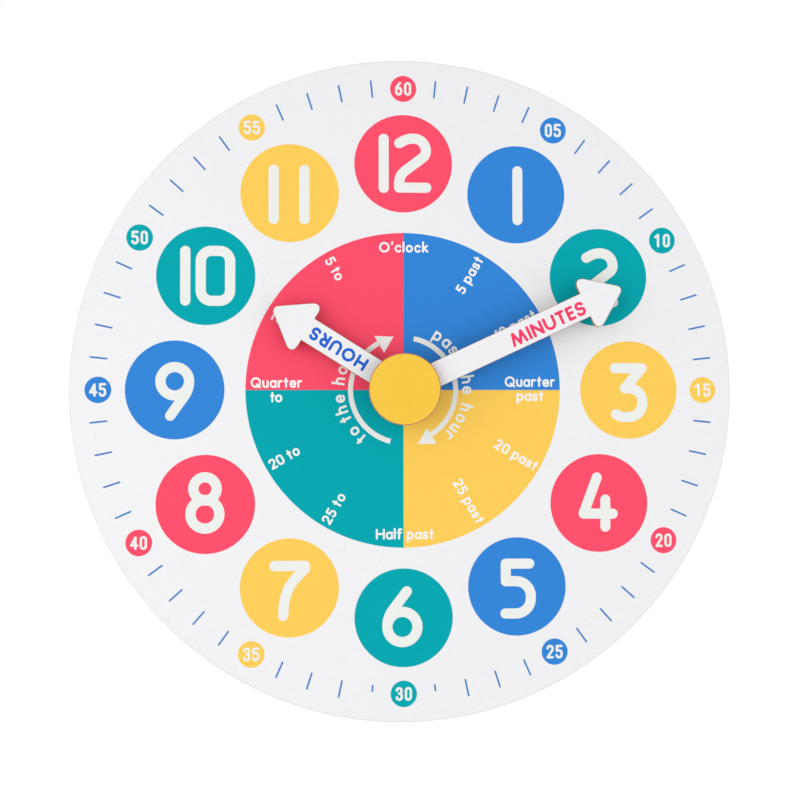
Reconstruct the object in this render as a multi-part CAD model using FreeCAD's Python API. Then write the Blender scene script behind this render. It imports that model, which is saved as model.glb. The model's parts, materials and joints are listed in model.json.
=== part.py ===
import FreeCAD, Part
import math
import os

# Round wall clock for learning to tell the time: a flat dial board with two arrow hands,
# turned by a battery quartz movement that is clamped through the middle of the board.
# Lengths are millimetres. Every piece is modelled with the clock lying on its back:
# x to the right, y up the dial and z towards the viewer, measured from the wall.
# stand_up() then turns each piece so that z is up and the face looks along -y.

# ---- dial and hands ------------------------------------------------------------------
DIAL_DIAMETER = 300.0
DIAL_THICKNESS = 5.0
HAND_THICKNESS = 2.2
HAND_ROOT_RADIUS = 9.0
CAP_DIAMETER = 32.0
CAP_THICKNESS = 3.0
PAD_RADIUS = 9.0
PAD_THICKNESS = 0.7

MINUTE_HAND_ANGLE = 65.0  # degrees clockwise from twelve
MINUTE_HAND_WIDTH = 11.3
MINUTE_HEAD_BACK = 89.8
MINUTE_HEAD_WIDTH = 22.6
MINUTE_HAND_REACH = 107.5

HOUR_HAND_ANGLE = 302.0
HOUR_HAND_WIDTH = 11.4
HOUR_HEAD_BACK = 50.8
HOUR_HEAD_WIDTH = 23.0
HOUR_HAND_REACH = 68.6

BARB_RADIUS = 3.0
HAND_TIP_RADIUS = 2.5

# ---- fits ----------------------------------------------------------------------------
RUNNING_GAP = 0.06  # radial, between a shaft and the bore it turns in
LOOSE_GAP = 0.15  # round a piece that is dropped into its place
SHEET_GAP = 0.3  # between the bent hanger and the case top

# ---- case and what clamps it to the dial ---------------------------------------------
CASE_SIZE = 56.0
CASE_CORNER = 4.0
CASE_WALL = 1.3
CASE_FRONT = 1.2
COVER_THICKNESS = 1.4
COVER_LEDGE = 0.6
COVER_TAB_BOTTOM = 8.0
COVER_TAB_HEIGHT = 6.0
COVER_TAB_WIDTH = 2.6
MARK_DEPTH = 0.3  # of the signs sunk in the cover
MARK_WIDTH = 0.7
POLE_SIGN_SIZE = 4.0
POLE_SIGN_X = 20.0
POLE_SIGN_RISE = 4.5  # above the battery bay
TURN_MARK_OFFSET = 2.0  # outside the knob's well
TURN_MARK_SWEEP = 76.0  # degrees
TURN_HEAD_SWEEP = 17.0  # degrees
TURN_HEAD_WIDTH = 2.4
PARTITION_TOP = -10.5
PARTITION_THICKNESS = 1.0
POST_RADIUS = 1.4
NECK_RADIUS = 4.0
NECK_PAST_NUT = 0.8
HANGER_THICKNESS = 0.8
HANGER_HALF_WIDTH = 14.0
HANGER_BEND = 1.1
HANGER_LOOP_RADIUS = 9.0
HANGER_LOOP_HEIGHT = 36.5
HANGER_LOOP_DEPTH = 3.0
HANGING_HOLE_RADIUS = 4.0
GASKET_RADIUS = 10.0
GASKET_THICKNESS = 1.0
WASHER_RADIUS = 8.0
WASHER_THICKNESS = 0.5
NUT_ACROSS_FLATS = 11.0
NUT_THICKNESS = 2.2

# ---- shafts and bushes, outer radii --------------------------------------------------
PIVOT_RADIUS = 0.4
SECONDS_ARBOR_RADIUS = 0.5
MINUTE_TUBE_RADIUS = 1.75
HOUR_TUBE_RADIUS = 2.5
SETTING_ARBOR_RADIUS = 0.75
BUSH_WALL = 0.9
BUSH_FLANGE_WIDTH = 1.3
BUSH_FLANGE_THICKNESS = 0.4
BUSH_PAST_HAND = 0.4
HAND_END_PLAY = 0.3
PIVOT_INSET = 0.2

# ---- wheelwork -----------------------------------------------------------------------
PRESSURE_ANGLE = math.radians(20.0)
DEDENDUM = 1.25  # of the module
BACKLASH = 0.08  # of the module, taken off each tooth at the pitch circle
TIP_RELIEF = 0.02  # of the module, kept off the wheel tips

MOTION_MODULE = 0.5
CANNON_LEAVES = 12
MINUTE_WHEEL_TEETH = 36
MINUTE_WHEEL_LEAVES = 12
HOUR_WHEEL_TEETH = 48
SETTING_LEAVES = 12
MINUTE_WHEEL_BEARING = 150.0  # degrees anticlockwise from the x axis
SETTING_BEARING = 110.0

TRAIN_LEAVES = 10
CENTRE_WHEEL_TEETH = 80
THIRD_WHEEL_TEETH = 75
SECONDS_WHEEL_TEETH = 60
INTERMEDIATE_WHEEL_TEETH = 50
THIRD_DISTANCE = 9.5
THIRD_BEARING = 90.0
INTERMEDIATE_DISTANCE = 9.8
INTERMEDIATE_BEARING = 15.0
ROTOR_DISTANCE = 6.0
ROTOR_BEARING = -20.0
HUB_RADIUS = 0.8
WINDOW_SHARE = 0.24  # of the wheel's root radius
WINDOW_PLACE = 0.6  # of the wheel's root radius
WINDOW_COUNT = 5

# Layers of the movement, from the wall towards the dial.
REAR_PLATE_BACK = 3.0
REAR_PLATE_THICKNESS = 1.0
TRAIN_WHEEL_THICKNESS = 0.8
TRAIN_LAYER_GAP = 0.8
CENTRE_LAYER_GAP = 1.0
CENTRE_WHEEL_THICKNESS = 1.0
PLATE_CLEARANCE = 0.2
CLUTCH_GAP = 0.4
CLUTCH_FLANGE_THICKNESS = 0.2
CLUTCH_FLANGE_RADIUS = 3.5
CLUTCH_SHEET = 0.1
MIDDLE_PLATE_THICKNESS = 0.7
MINUTE_WHEEL_THICKNESS = 1.4
MOTION_LAYER_GAP = 0.4
HOUR_WHEEL_THICKNESS = 1.0
HOUR_WHEEL_END_PLAY = 0.5
PINION_OVERHANG = 0.1  # a pinion's leaves past its wheel, on each side
PILLAR_RADIUS = 1.5

PLATE_LEFT = -14.5
PLATE_RIGHT = 18.0
PLATE_BOTTOM = -9.7
PLATE_TOP = 17.5
WELL_PLATE_GAP = 0.8
PILLARS = ((-11.2, -6.5), (-12.8, 2.8), (9.0, -8.0), (9.6, 15.5))
CASE_FEET = ((12.0, -8.2), (12.0, 12.0), (-12.0, -8.2), (0.0, 15.5))

# ---- step motor ----------------------------------------------------------------------
MAGNET_RADIUS = 2.2
MAGNET_BACK = 7.0
MAGNET_LENGTH = 3.0
ROTOR_SLEEVE_RADIUS = 0.7
STATOR_GAP = 0.4
STATOR_WEB = 0.6
STATOR_BACK = 8.0
STATOR_THICKNESS = 1.0
STATOR_BOTTOM = -7.5
STATOR_TOP = 19.0
STATOR_TAB = 3.0
STATOR_BOSS_RADIUS = 1.2
STATOR_BOSS_OFFSETS = (-6.5, 9.5)
COIL_STATOR_GAP = 0.1
COIL_CORE_WIDTH = 2.4
COIL_CORE_THICKNESS = 1.0
COIL_RADIUS = 2.3
BOBBIN_WALL = 0.4
BOBBIN_FLANGE_RADIUS = 2.6
BOBBIN_FLANGE_THICKNESS = 1.0

# ---- setting knob --------------------------------------------------------------------
KNOB_RADIUS = 4.6
KNOB_BACK = 0.3
KNOB_THICKNESS = 1.9
KNOB_FLUTES = 24
KNOB_FLUTE_RADIUS = 0.4
WELL_CLEARANCE = 0.8
WELL_WALL = 0.7
WELL_FLOOR_BACK = 2.4
WELL_FLOOR_THICKNESS = 1.2

# ---- circuit -------------------------------------------------------------------------
BOARD_LEFT = -4.0
BOARD_RIGHT = 18.0
BOARD_HEIGHT = 5.0
BOARD_WALL_GAP = 0.5
BOARD_BACK = 4.6
BOARD_THICKNESS = 1.0
BOARD_POSTS_X = (-1.5, 15.5)
CHIP_X = 4.6
CHIP_RADIUS = 2.2
CHIP_HEIGHT = 1.0
CHIP_ROUNDING = 0.8
CRYSTAL_LEFT = 8.0
CRYSTAL_LENGTH = 6.0
CRYSTAL_RADIUS = 1.0
CONTACT_THICKNESS = 0.4
CONTACT_STRIP_BACK = 2.2
CONTACT_PLATE_HALF = 4.0
CONTACT_PLATE_LAP = 0.95
CONTACT_TAB_WIDTH = 2.0
CONTACT_TAB_OVERLAP = 1.5

# ---- battery, size AA ----------------------------------------------------------------
BATTERY_SPRING_ROOM = 2.35
BATTERY_NUB_RADIUS = 2.75
BATTERY_NUB_LENGTH = 1.3
BATTERY_SLEEVE = 0.1
BATTERY_SLEEVE_INSET = 0.6
BATTERY_FLOOR_GAP = 0.4
BATTERY_SIDE_GAP = 0.35
BAY_RIB_X = 15.0
BAY_RIB_THICKNESS = 1.2
BAY_RIB_HEIGHT = 3.5
SCOOP_RADIUS = 7.0
CUT_PAST = 1.0  # how far a cutting tool runs past the wall that it cuts
NEGLIGIBLE = 1e-6

# ---- depths worked out from the layers -----------------------------------------------
rear_plate_front = REAR_PLATE_BACK + REAR_PLATE_THICKNESS
intermediate_back = rear_plate_front + TRAIN_LAYER_GAP
intermediate_front = intermediate_back + TRAIN_WHEEL_THICKNESS
seconds_back = intermediate_front + TRAIN_LAYER_GAP
seconds_front = seconds_back + TRAIN_WHEEL_THICKNESS
third_back = seconds_front + TRAIN_LAYER_GAP
third_front = third_back + TRAIN_WHEEL_THICKNESS
clutch_back = third_front + CLUTCH_GAP
clutch_front = clutch_back + CLUTCH_FLANGE_THICKNESS
centre_back = third_front + CENTRE_LAYER_GAP
centre_front = centre_back + CENTRE_WHEEL_THICKNESS
middle_plate_back = centre_front + PLATE_CLEARANCE
middle_plate_front = middle_plate_back + MIDDLE_PLATE_THICKNESS
cannon_back = middle_plate_front + PLATE_CLEARANCE
minute_wheel_back = cannon_back + PINION_OVERHANG
minute_wheel_front = minute_wheel_back + MINUTE_WHEEL_THICKNESS
hour_wheel_back = minute_wheel_front + MOTION_LAYER_GAP
hour_wheel_front = hour_wheel_back + HOUR_WHEEL_THICKNESS
case_inner_front = hour_wheel_front + HOUR_WHEEL_END_PLAY
case_front = case_inner_front + CASE_FRONT
hanger_front = case_front + HANGER_THICKNESS
dial_back = hanger_front + GASKET_THICKNESS
dial_front = dial_back + DIAL_THICKNESS
washer_front = dial_front + WASHER_THICKNESS
nut_front = washer_front + NUT_THICKNESS
neck_end = nut_front + NECK_PAST_NUT
hour_hand_back = neck_end + PLATE_CLEARANCE + BUSH_FLANGE_THICKNESS
hour_hand_front = hour_hand_back + HAND_THICKNESS
hour_bush_front = hour_hand_front + BUSH_PAST_HAND
minute_hand_back = hour_bush_front + 2 * HAND_END_PLAY + BUSH_FLANGE_THICKNESS
minute_hand_front = minute_hand_back + HAND_THICKNESS
minute_bush_front = minute_hand_front + BUSH_PAST_HAND
cap_back = minute_hand_front + PAD_THICKNESS
cap_front = cap_back + CAP_THICKNESS

# ---- radii and lengths worked out from the sizes above -------------------------------
case_half = CASE_SIZE / 2
case_inner_half = case_half - CASE_WALL
case_inner_corner = CASE_CORNER - CASE_WALL
neck_bore = HOUR_TUBE_RADIUS + RUNNING_GAP
hour_tube_bore = MINUTE_TUBE_RADIUS + RUNNING_GAP
minute_tube_bore = SECONDS_ARBOR_RADIUS + RUNNING_GAP
on_neck_bore = NECK_RADIUS + LOOSE_GAP
setting_hole = SETTING_ARBOR_RADIUS + RUNNING_GAP
pivot_hole = PIVOT_RADIUS + RUNNING_GAP
motion_distance = MOTION_MODULE * (CANNON_LEAVES + MINUTE_WHEEL_TEETH) / 2
hour_module = 2 * motion_distance / (MINUTE_WHEEL_LEAVES + HOUR_WHEEL_TEETH)
setting_distance = MOTION_MODULE * (SETTING_LEAVES + MINUTE_WHEEL_TEETH) / 2
centre_module = 2 * THIRD_DISTANCE / (CENTRE_WHEEL_TEETH + TRAIN_LEAVES)
third_module = 2 * THIRD_DISTANCE / (THIRD_WHEEL_TEETH + TRAIN_LEAVES)
seconds_module = 2 * INTERMEDIATE_DISTANCE / (SECONDS_WHEEL_TEETH + TRAIN_LEAVES)
intermediate_module = 2 * ROTOR_DISTANCE / (INTERMEDIATE_WHEEL_TEETH + TRAIN_LEAVES)
bay_bottom = -case_inner_half
bay_top = PARTITION_TOP - PARTITION_THICKNESS
battery_y = (bay_bottom + bay_top) / 2
battery_radius = (bay_top - bay_bottom) / 2 - BATTERY_SIDE_GAP
battery_depth = case_inner_front - BATTERY_FLOOR_GAP - battery_radius
battery_right = case_inner_half - CONTACT_THICKNESS - LOOSE_GAP
battery_left = BATTERY_SPRING_ROOM - case_inner_half
stator_front = STATOR_BACK + STATOR_THICKNESS
coil_depth = stator_front + COIL_CORE_THICKNESS / 2
board_front = BOARD_BACK + BOARD_THICKNESS
board_top = case_inner_half - BOARD_WALL_GAP
board_bottom = board_top - BOARD_HEIGHT
board_middle = (board_bottom + board_top) / 2
well_radius = KNOB_RADIUS + WELL_CLEARANCE
well_outer = well_radius + WELL_WALL
well_floor_front = WELL_FLOOR_BACK + WELL_FLOOR_THICKNESS
knob_front = KNOB_BACK + KNOB_THICKNESS


def point(x, y, z=0.0):
    return FreeCAD.Vector(x, y, z)


def polar(radius, angle):
    return point(radius * math.cos(angle), radius * math.sin(angle))


def bearing(radius, degrees):
    return polar(radius, math.radians(degrees))


AXIS = point(0, 0)
minute_wheel_at = bearing(motion_distance, MINUTE_WHEEL_BEARING)
setting_at = minute_wheel_at + bearing(setting_distance, SETTING_BEARING)
third_at = bearing(THIRD_DISTANCE, THIRD_BEARING)
intermediate_at = bearing(INTERMEDIATE_DISTANCE, INTERMEDIATE_BEARING)
rotor_at = intermediate_at + bearing(ROTOR_DISTANCE, ROTOR_BEARING)

stator_hole = MAGNET_RADIUS + STATOR_GAP
stator_right = rotor_at.x + stator_hole + STATOR_WEB
coil_x = stator_right + COIL_STATOR_GAP + BOBBIN_FLANGE_RADIUS


# ---- plain solids --------------------------------------------------------------------
def disc(radius, back, front, at=AXIS):
    return Part.makeCylinder(radius, front - back, point(at.x, at.y, back))


def ring(outer, inner, back, front, at=AXIS):
    return disc(outer, back, front, at).cut(disc(inner, back, front, at))


def block(left, right, bottom, top, back, front):
    return Part.makeBox(right - left, top - bottom, front - back, point(left, bottom, back))


def upright(edge):
    along = edge.tangentAt(edge.FirstParameter)
    return abs(along.x) < NEGLIGIBLE and abs(along.y) < NEGLIGIBLE


def rounded_square(half, corner, back, front):
    square = block(-half, half, -half, half, back, front)
    uprights = [e for e in square.Edges if upright(e)]
    return square.makeFillet(corner, uprights)


def joined(first, *others):
    solid = first.multiFuse(list(others)).removeSplitter()
    return solid.Solids[0] if len(solid.Solids) == 1 else solid


def prism(edges, back, front):
    face = Part.Face(Part.Wire(edges))
    face.translate(point(0, 0, back))
    return face.extrude(point(0, 0, front - back))


def line(start, end):
    return Part.LineSegment(start, end).toShape()


def arc(start, middle, end):
    return Part.Arc(start, middle, end).toShape()


# ---- involute gears ------------------------------------------------------------------
def involute(angle):
    return math.tan(angle) - angle


def wheel_tip(teeth, leaves, module):
    """Largest tip radius of a wheel that stays off the root of its pinion's leaves."""
    pitch = teeth * module / 2
    reach = (teeth + leaves) * module / 2 * math.sin(PRESSURE_ANGLE)
    limit = math.hypot(pitch * math.cos(PRESSURE_ANGLE), reach)
    return min(pitch + module, limit) - TIP_RELIEF * module


def pinion_tip(leaves, module):
    return leaves * module / 2 + module


def gear(teeth, module, tip, back, front, at=AXIS, phase=0.0):
    """Spur gear with involute flanks; phase is the angle of one tooth's middle."""
    pitch = teeth * module / 2
    base = pitch * math.cos(PRESSURE_ANGLE)
    root = pitch - DEDENDUM * module
    foot = max(root, base)
    radii = (foot, (foot + tip) / 2, tip)
    tooth = module * (math.pi / 2 - BACKLASH)
    half_base = tooth / (2 * pitch) + involute(PRESSURE_ANGLE)
    halves = [half_base - involute(math.acos(min(1.0, base / r))) for r in radii]
    step = 2 * math.pi / teeth
    edges = []
    for i in range(teeth):
        middle = phase + i * step
        rising = [polar(r, middle - h) for r, h in zip(radii, halves)]
        falling = [polar(r, middle + h) for r, h in zip(radii, halves)]
        root_start = polar(root, middle - halves[0])
        root_end = polar(root, middle + halves[0])
        next_root = polar(root, middle + step - halves[0])
        if foot > root:
            edges.append(line(root_start, rising[0]))
        edges.append(arc(*rising))
        edges.append(arc(rising[2], polar(tip, middle), falling[2]))
        edges.append(arc(*reversed(falling)))
        if foot > root:
            edges.append(line(falling[0], root_end))
        edges.append(arc(root_end, polar(root, middle + step / 2), next_root))
    solid = prism(edges, back, front)
    solid.translate(at)
    return solid


def mesh_phase(teeth, phase, at, mate_teeth, mate_at):
    """Phase that puts a space of the mate opposite a tooth of the first gear."""
    towards = math.atan2(mate_at.y - at.y, mate_at.x - at.x)
    return towards + math.pi + (math.pi - teeth * (phase - towards)) / mate_teeth


def windows(teeth, module, back, front, at):
    """Round openings that lighten a wheel's web."""
    root = (teeth / 2 - DEDENDUM) * module
    places = [bearing(WINDOW_PLACE * root, 360 / WINDOW_COUNT * i) for i in range(WINDOW_COUNT)]
    return [disc(WINDOW_SHARE * root, back, front, at + place) for place in places]


def wheel(teeth, leaves, module, back, front, at=AXIS, phase=0.0):
    body = gear(teeth, module, wheel_tip(teeth, leaves, module), back, front, at, phase)
    return body.cut(Part.makeCompound(windows(teeth, module, back, front, at)))


def pinion(leaves, module, wheel_back, wheel_front, at=AXIS, phase=0.0):
    """Pinion a little wider than the wheel that it meshes with."""
    back = wheel_back - PINION_OVERHANG
    front = wheel_front + PINION_OVERHANG
    return gear(leaves, module, pinion_tip(leaves, module), back, front, at, phase)


minute_wheel_phase = mesh_phase(CANNON_LEAVES, 0.0, AXIS, MINUTE_WHEEL_TEETH, minute_wheel_at)
setting_phase = mesh_phase(
    MINUTE_WHEEL_TEETH, minute_wheel_phase, minute_wheel_at, SETTING_LEAVES, setting_at
)
hour_wheel_phase = mesh_phase(MINUTE_WHEEL_LEAVES, 0.0, minute_wheel_at, HOUR_WHEEL_TEETH, AXIS)
third_pinion_phase = mesh_phase(CENTRE_WHEEL_TEETH, 0.0, AXIS, TRAIN_LEAVES, third_at)
seconds_pinion_phase = mesh_phase(THIRD_WHEEL_TEETH, 0.0, third_at, TRAIN_LEAVES, AXIS)
intermediate_pinion_phase = mesh_phase(
    SECONDS_WHEEL_TEETH, 0.0, AXIS, TRAIN_LEAVES, intermediate_at
)
rotor_pinion_phase = mesh_phase(
    INTERMEDIATE_WHEEL_TEETH, 0.0, intermediate_at, TRAIN_LEAVES, rotor_at
)


# ---- dial, hands and cap -------------------------------------------------------------
def dial_plate():
    return ring(DIAL_DIAMETER / 2, on_neck_bore, dial_back, dial_front)


def arrow_hand(width, head_back, head_width, reach, bore, back, angle):
    """Straight hand with an arrowhead: square behind, round at its barbs and tip."""
    half = width / 2
    barb = point(head_width / 2 - BARB_RADIUS, head_back + BARB_RADIUS)
    tip = point(0, reach - HAND_TIP_RADIUS)
    # The straight side touches the barb circle and the tip circle.
    span = math.hypot(barb.x, tip.y - barb.y)
    slant = math.atan2(barb.x, tip.y - barb.y)
    slant += math.asin((BARB_RADIUS - HAND_TIP_RADIUS) / span)
    outward = point(math.cos(slant), math.sin(slant))
    halfway = polar(BARB_RADIUS, (slant - math.pi / 2) / 2)
    right = [
        point(half, 0),
        point(half, head_back),
        point(barb.x, head_back),
        barb + halfway,
        barb + outward * BARB_RADIUS,
        tip + outward * HAND_TIP_RADIUS,
    ]
    left = [point(-p.x, p.y) for p in right]
    edges = [line(left[0], right[0])]
    for side in (right, left):
        edges.append(line(side[0], side[1]))
        edges.append(line(side[1], side[2]))
        edges.append(arc(side[2], side[3], side[4]))
        edges.append(line(side[4], side[5]))
    edges.append(arc(right[5], point(0, reach), left[5]))
    front = back + HAND_THICKNESS
    blade = prism(Part.__sortEdges__(edges), back, front)
    hand = joined(blade, disc(HAND_ROOT_RADIUS, back, front)).cut(disc(bore, back, front))
    hand.rotate(AXIS, point(0, 0, 1), -angle)
    return hand


def minute_hand():
    bore = MINUTE_TUBE_RADIUS + BUSH_WALL
    return arrow_hand(
        MINUTE_HAND_WIDTH, MINUTE_HEAD_BACK, MINUTE_HEAD_WIDTH, MINUTE_HAND_REACH,
        bore, minute_hand_back, MINUTE_HAND_ANGLE,
    )


def hour_hand():
    bore = HOUR_TUBE_RADIUS + BUSH_WALL
    return arrow_hand(
        HOUR_HAND_WIDTH, HOUR_HEAD_BACK, HOUR_HEAD_WIDTH, HOUR_HAND_REACH,
        bore, hour_hand_back, HOUR_HAND_ANGLE,
    )


def hand_bush(tube_radius, hand_back, front):
    """Brass bush pressed into a hand, with its flange behind the hand."""
    sleeve = tube_radius + BUSH_WALL
    flange_back = hand_back - BUSH_FLANGE_THICKNESS
    flange = disc(sleeve + BUSH_FLANGE_WIDTH, flange_back, hand_back)
    body = joined(flange, disc(sleeve, hand_back, front))
    return body.cut(disc(tube_radius, flange_back, front))


def minute_hand_bush():
    return hand_bush(MINUTE_TUBE_RADIUS, minute_hand_back, minute_bush_front)


def hour_hand_bush():
    return hand_bush(HOUR_TUBE_RADIUS, hour_hand_back, hour_bush_front)


def cap_pad():
    bore = MINUTE_TUBE_RADIUS + BUSH_WALL + LOOSE_GAP
    return ring(PAD_RADIUS, bore, minute_hand_front, cap_back)


def hand_cap():
    return disc(CAP_DIAMETER / 2, cap_back, cap_front)


# ---- clamping the movement to the dial -----------------------------------------------
def hex_nut():
    corner = NUT_ACROSS_FLATS / 2 / math.cos(math.radians(30))
    corners = [bearing(corner, 60 * i) for i in range(6)]
    sides = [line(corners[i], corners[(i + 1) % 6]) for i in range(6)]
    body = prism(sides, washer_front, nut_front)
    return body.cut(disc(on_neck_bore, washer_front, nut_front))


def dial_washer():
    return ring(WASHER_RADIUS, on_neck_bore, dial_front, washer_front)


def rubber_gasket():
    return ring(GASKET_RADIUS, on_neck_bore, hanger_front, dial_back)


def hanger_plate():
    """Steel sheet under the dial, bent back over the case and up into a round eye."""
    shelf_bottom = case_half + SHEET_GAP
    shelf_top = shelf_bottom + HANGER_THICKNESS
    loop_front = HANGER_LOOP_DEPTH + HANGER_THICKNESS
    wide, narrow = HANGER_HALF_WIDTH, HANGER_LOOP_RADIUS
    sheet = block(-wide, wide, -wide, wide, case_front, hanger_front)
    neck = block(-narrow, narrow, wide, shelf_top, case_front, hanger_front)
    shelf = block(-narrow, narrow, shelf_bottom, shelf_top, HANGER_LOOP_DEPTH, hanger_front)
    eye_at = point(0, HANGER_LOOP_HEIGHT)
    low_left, low_right = point(-narrow, shelf_bottom), point(narrow, shelf_bottom)
    left, right = point(-narrow, HANGER_LOOP_HEIGHT), point(narrow, HANGER_LOOP_HEIGHT)
    crown = point(0, HANGER_LOOP_HEIGHT + narrow)
    outline = [
        line(low_left, low_right), line(low_right, right), arc(right, crown, left), line(left, low_left)
    ]
    body = joined(sheet, neck, shelf, prism(outline, HANGER_LOOP_DEPTH, loop_front))
    outer_bends = ((shelf_top, hanger_front), (shelf_bottom, HANGER_LOOP_DEPTH))
    bends = [e for e in body.Edges if lies_along_x(e, outer_bends)]
    body = body.makeFillet(HANGER_BEND, bends)
    body = body.cut(disc(on_neck_bore, case_front, hanger_front))
    return body.cut(disc(HANGING_HOLE_RADIUS, HANGER_LOOP_DEPTH, loop_front, eye_at))


def lies_along_x(edge, places):
    middle = edge.CenterOfMass
    ends = edge.Vertexes
    level = len(ends) == 2 and math.hypot(ends[0].Y - ends[1].Y, ends[0].Z - ends[1].Z) < NEGLIGIBLE
    return level and any(math.hypot(middle.y - y, middle.z - z) < NEGLIGIBLE for y, z in places)


# ---- case and cover ------------------------------------------------------------------
def movement_case():
    """Moulded case: works above the partition, battery bay below it, open at the back."""
    inside = case_inner_half
    body = rounded_square(case_half, CASE_CORNER, 0, case_front)
    body = body.cut(rounded_square(inside, case_inner_corner, 0, case_inner_front))
    additions = [
        block(-inside, inside, bay_top, PARTITION_TOP, COVER_THICKNESS, case_inner_front),
        disc(NECK_RADIUS, case_front, neck_end),
    ]
    for x in BOARD_POSTS_X:
        at = point(x, board_middle)
        additions.append(disc(POST_RADIUS, board_front, case_inner_front, at))
    for x in (-BAY_RIB_X, BAY_RIB_X):
        left, right = x - BAY_RIB_THICKNESS / 2, x + BAY_RIB_THICKNESS / 2
        rib_back = case_inner_front - BAY_RIB_HEIGHT
        additions.append(block(left, right, bay_bottom, bay_top, rib_back, case_inner_front))
    body = joined(body, *additions)
    seat = rounded_square(inside + COVER_LEDGE, case_inner_corner + COVER_LEDGE, 0, COVER_THICKNESS)
    seat = seat.common(block(-case_half, case_half, bay_top, case_half, 0, COVER_THICKNESS))
    strip_front = BOARD_BACK + LOOSE_GAP
    strip_way = block(
        inside - 2 * CONTACT_THICKNESS, inside, bay_top, PARTITION_TOP, COVER_THICKNESS, strip_front
    )
    cuts = [seat, strip_way, mirrored(strip_way)]
    cuts.append(battery_cylinder(battery_radius + LOOSE_GAP, battery_left, battery_right))
    scoop_at = point(0, -case_half - CUT_PAST, 0)
    scoop_length = CASE_WALL + 2 * CUT_PAST
    cuts.append(Part.makeCylinder(SCOOP_RADIUS, scoop_length, scoop_at, point(0, 1, 0)))
    cuts.append(disc(neck_bore, case_inner_front, neck_end))
    pivot_end = case_inner_front + CASE_FRONT / 2 + PIVOT_INSET
    for at in (minute_wheel_at, setting_at):
        cuts.append(disc(setting_hole, case_inner_front, pivot_end, at))
    cuts.extend(cover_tab(LOOSE_GAP))
    return body.cut(Part.makeCompound(cuts))


def mirrored(shape):
    return shape.mirror(AXIS, point(1, 0, 0))


def cover_tab(gap):
    """Pry tab of the cover at each side of the case, grown by gap for its notch."""
    bottom = COVER_TAB_BOTTOM - gap
    top = COVER_TAB_BOTTOM + COVER_TAB_HEIGHT + gap
    right = block(case_half - COVER_TAB_WIDTH, case_half, bottom, top, 0, COVER_THICKNESS)
    return [right, mirrored(right)]


def pole_marks():
    """Plus and minus signs over the battery's two ends."""
    y = bay_top + POLE_SIGN_RISE
    long, short = POLE_SIGN_SIZE / 2, MARK_WIDTH / 2
    return [
        block(x - wide, x + wide, y - high, y + high, 0, MARK_DEPTH)
        for x, wide, high in (
            (POLE_SIGN_X, long, short), (POLE_SIGN_X, short, long), (-POLE_SIGN_X, long, short)
        )
    ]


def turn_marks():
    """Arrow with two heads, bent round the lower side of the knob's well."""
    radius = well_radius + TURN_MARK_OFFSET
    outer, inner = radius + MARK_WIDTH / 2, radius - MARK_WIDTH / 2
    first = 270 - TURN_MARK_SWEEP / 2
    last = first + TURN_MARK_SWEEP
    sector = Part.makeCylinder(outer, MARK_DEPTH, setting_at, point(0, 0, 1), TURN_MARK_SWEEP)
    sector.rotate(setting_at, point(0, 0, 1), first)
    cuts = [sector.cut(disc(inner, 0, MARK_DEPTH, setting_at))]
    for angle, way in ((first, -1), (last, 1)):
        barbs = (radius - TURN_HEAD_WIDTH / 2, radius + TURN_HEAD_WIDTH / 2)
        corners = [setting_at + bearing(barb, angle) for barb in barbs]
        corners.append(setting_at + bearing(radius, angle + way * TURN_HEAD_SWEEP))
        cuts.append(prism([line(corners[i - 1], corners[i]) for i in range(len(corners))], 0, MARK_DEPTH))
    return cuts


def back_cover():
    """Flat cover over the works, with a round well for the setting knob and signs sunk in it."""
    half = case_inner_half + COVER_LEDGE - LOOSE_GAP
    corner = case_inner_corner + COVER_LEDGE - LOOSE_GAP
    plate = rounded_square(half, corner, 0, COVER_THICKNESS)
    plate = plate.common(block(-half, half, bay_top, half, 0, COVER_THICKNESS))
    well = disc(well_outer, 0, well_floor_front, setting_at)
    body = joined(plate, well, *cover_tab(0.0))
    body = body.cut(disc(well_radius, 0, WELL_FLOOR_BACK, setting_at))
    body = body.cut(disc(setting_hole, WELL_FLOOR_BACK, well_floor_front, setting_at))
    for mark in pole_marks() + turn_marks():
        body = body.cut(mark)
    return body


# ---- plates of the wheelwork ---------------------------------------------------------
def middle_plate():
    """Plate between going train and motion work: pillars to the rear plate, feet to the case."""
    plate = block(
        PLATE_LEFT, PLATE_RIGHT, PLATE_BOTTOM, PLATE_TOP, middle_plate_back, middle_plate_front
    )
    legs = [
        disc(PILLAR_RADIUS, rear_plate_front, middle_plate_back, point(x, y)) for x, y in PILLARS
    ]
    for x, y in CASE_FEET:
        legs.append(disc(POST_RADIUS, middle_plate_front, case_inner_front, point(x, y)))
    for offset in STATOR_BOSS_OFFSETS:
        at = rotor_at + point(0, offset)
        legs.append(disc(STATOR_BOSS_RADIUS, stator_front, middle_plate_back, at))
        legs.append(disc(STATOR_BOSS_RADIUS / 2, STATOR_BACK, stator_front, at))
    body = joined(plate, *legs)
    holes = [
        disc(hour_tube_bore, middle_plate_back, middle_plate_front),
        disc(SETTING_ARBOR_RADIUS + WELL_CLEARANCE, middle_plate_back, middle_plate_front, setting_at),
    ]
    for at in (minute_wheel_at, third_at, intermediate_at, rotor_at):
        holes.append(disc(pivot_hole, middle_plate_back, middle_plate_front, at))
    return body.cut(Part.makeCompound(holes))


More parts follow.
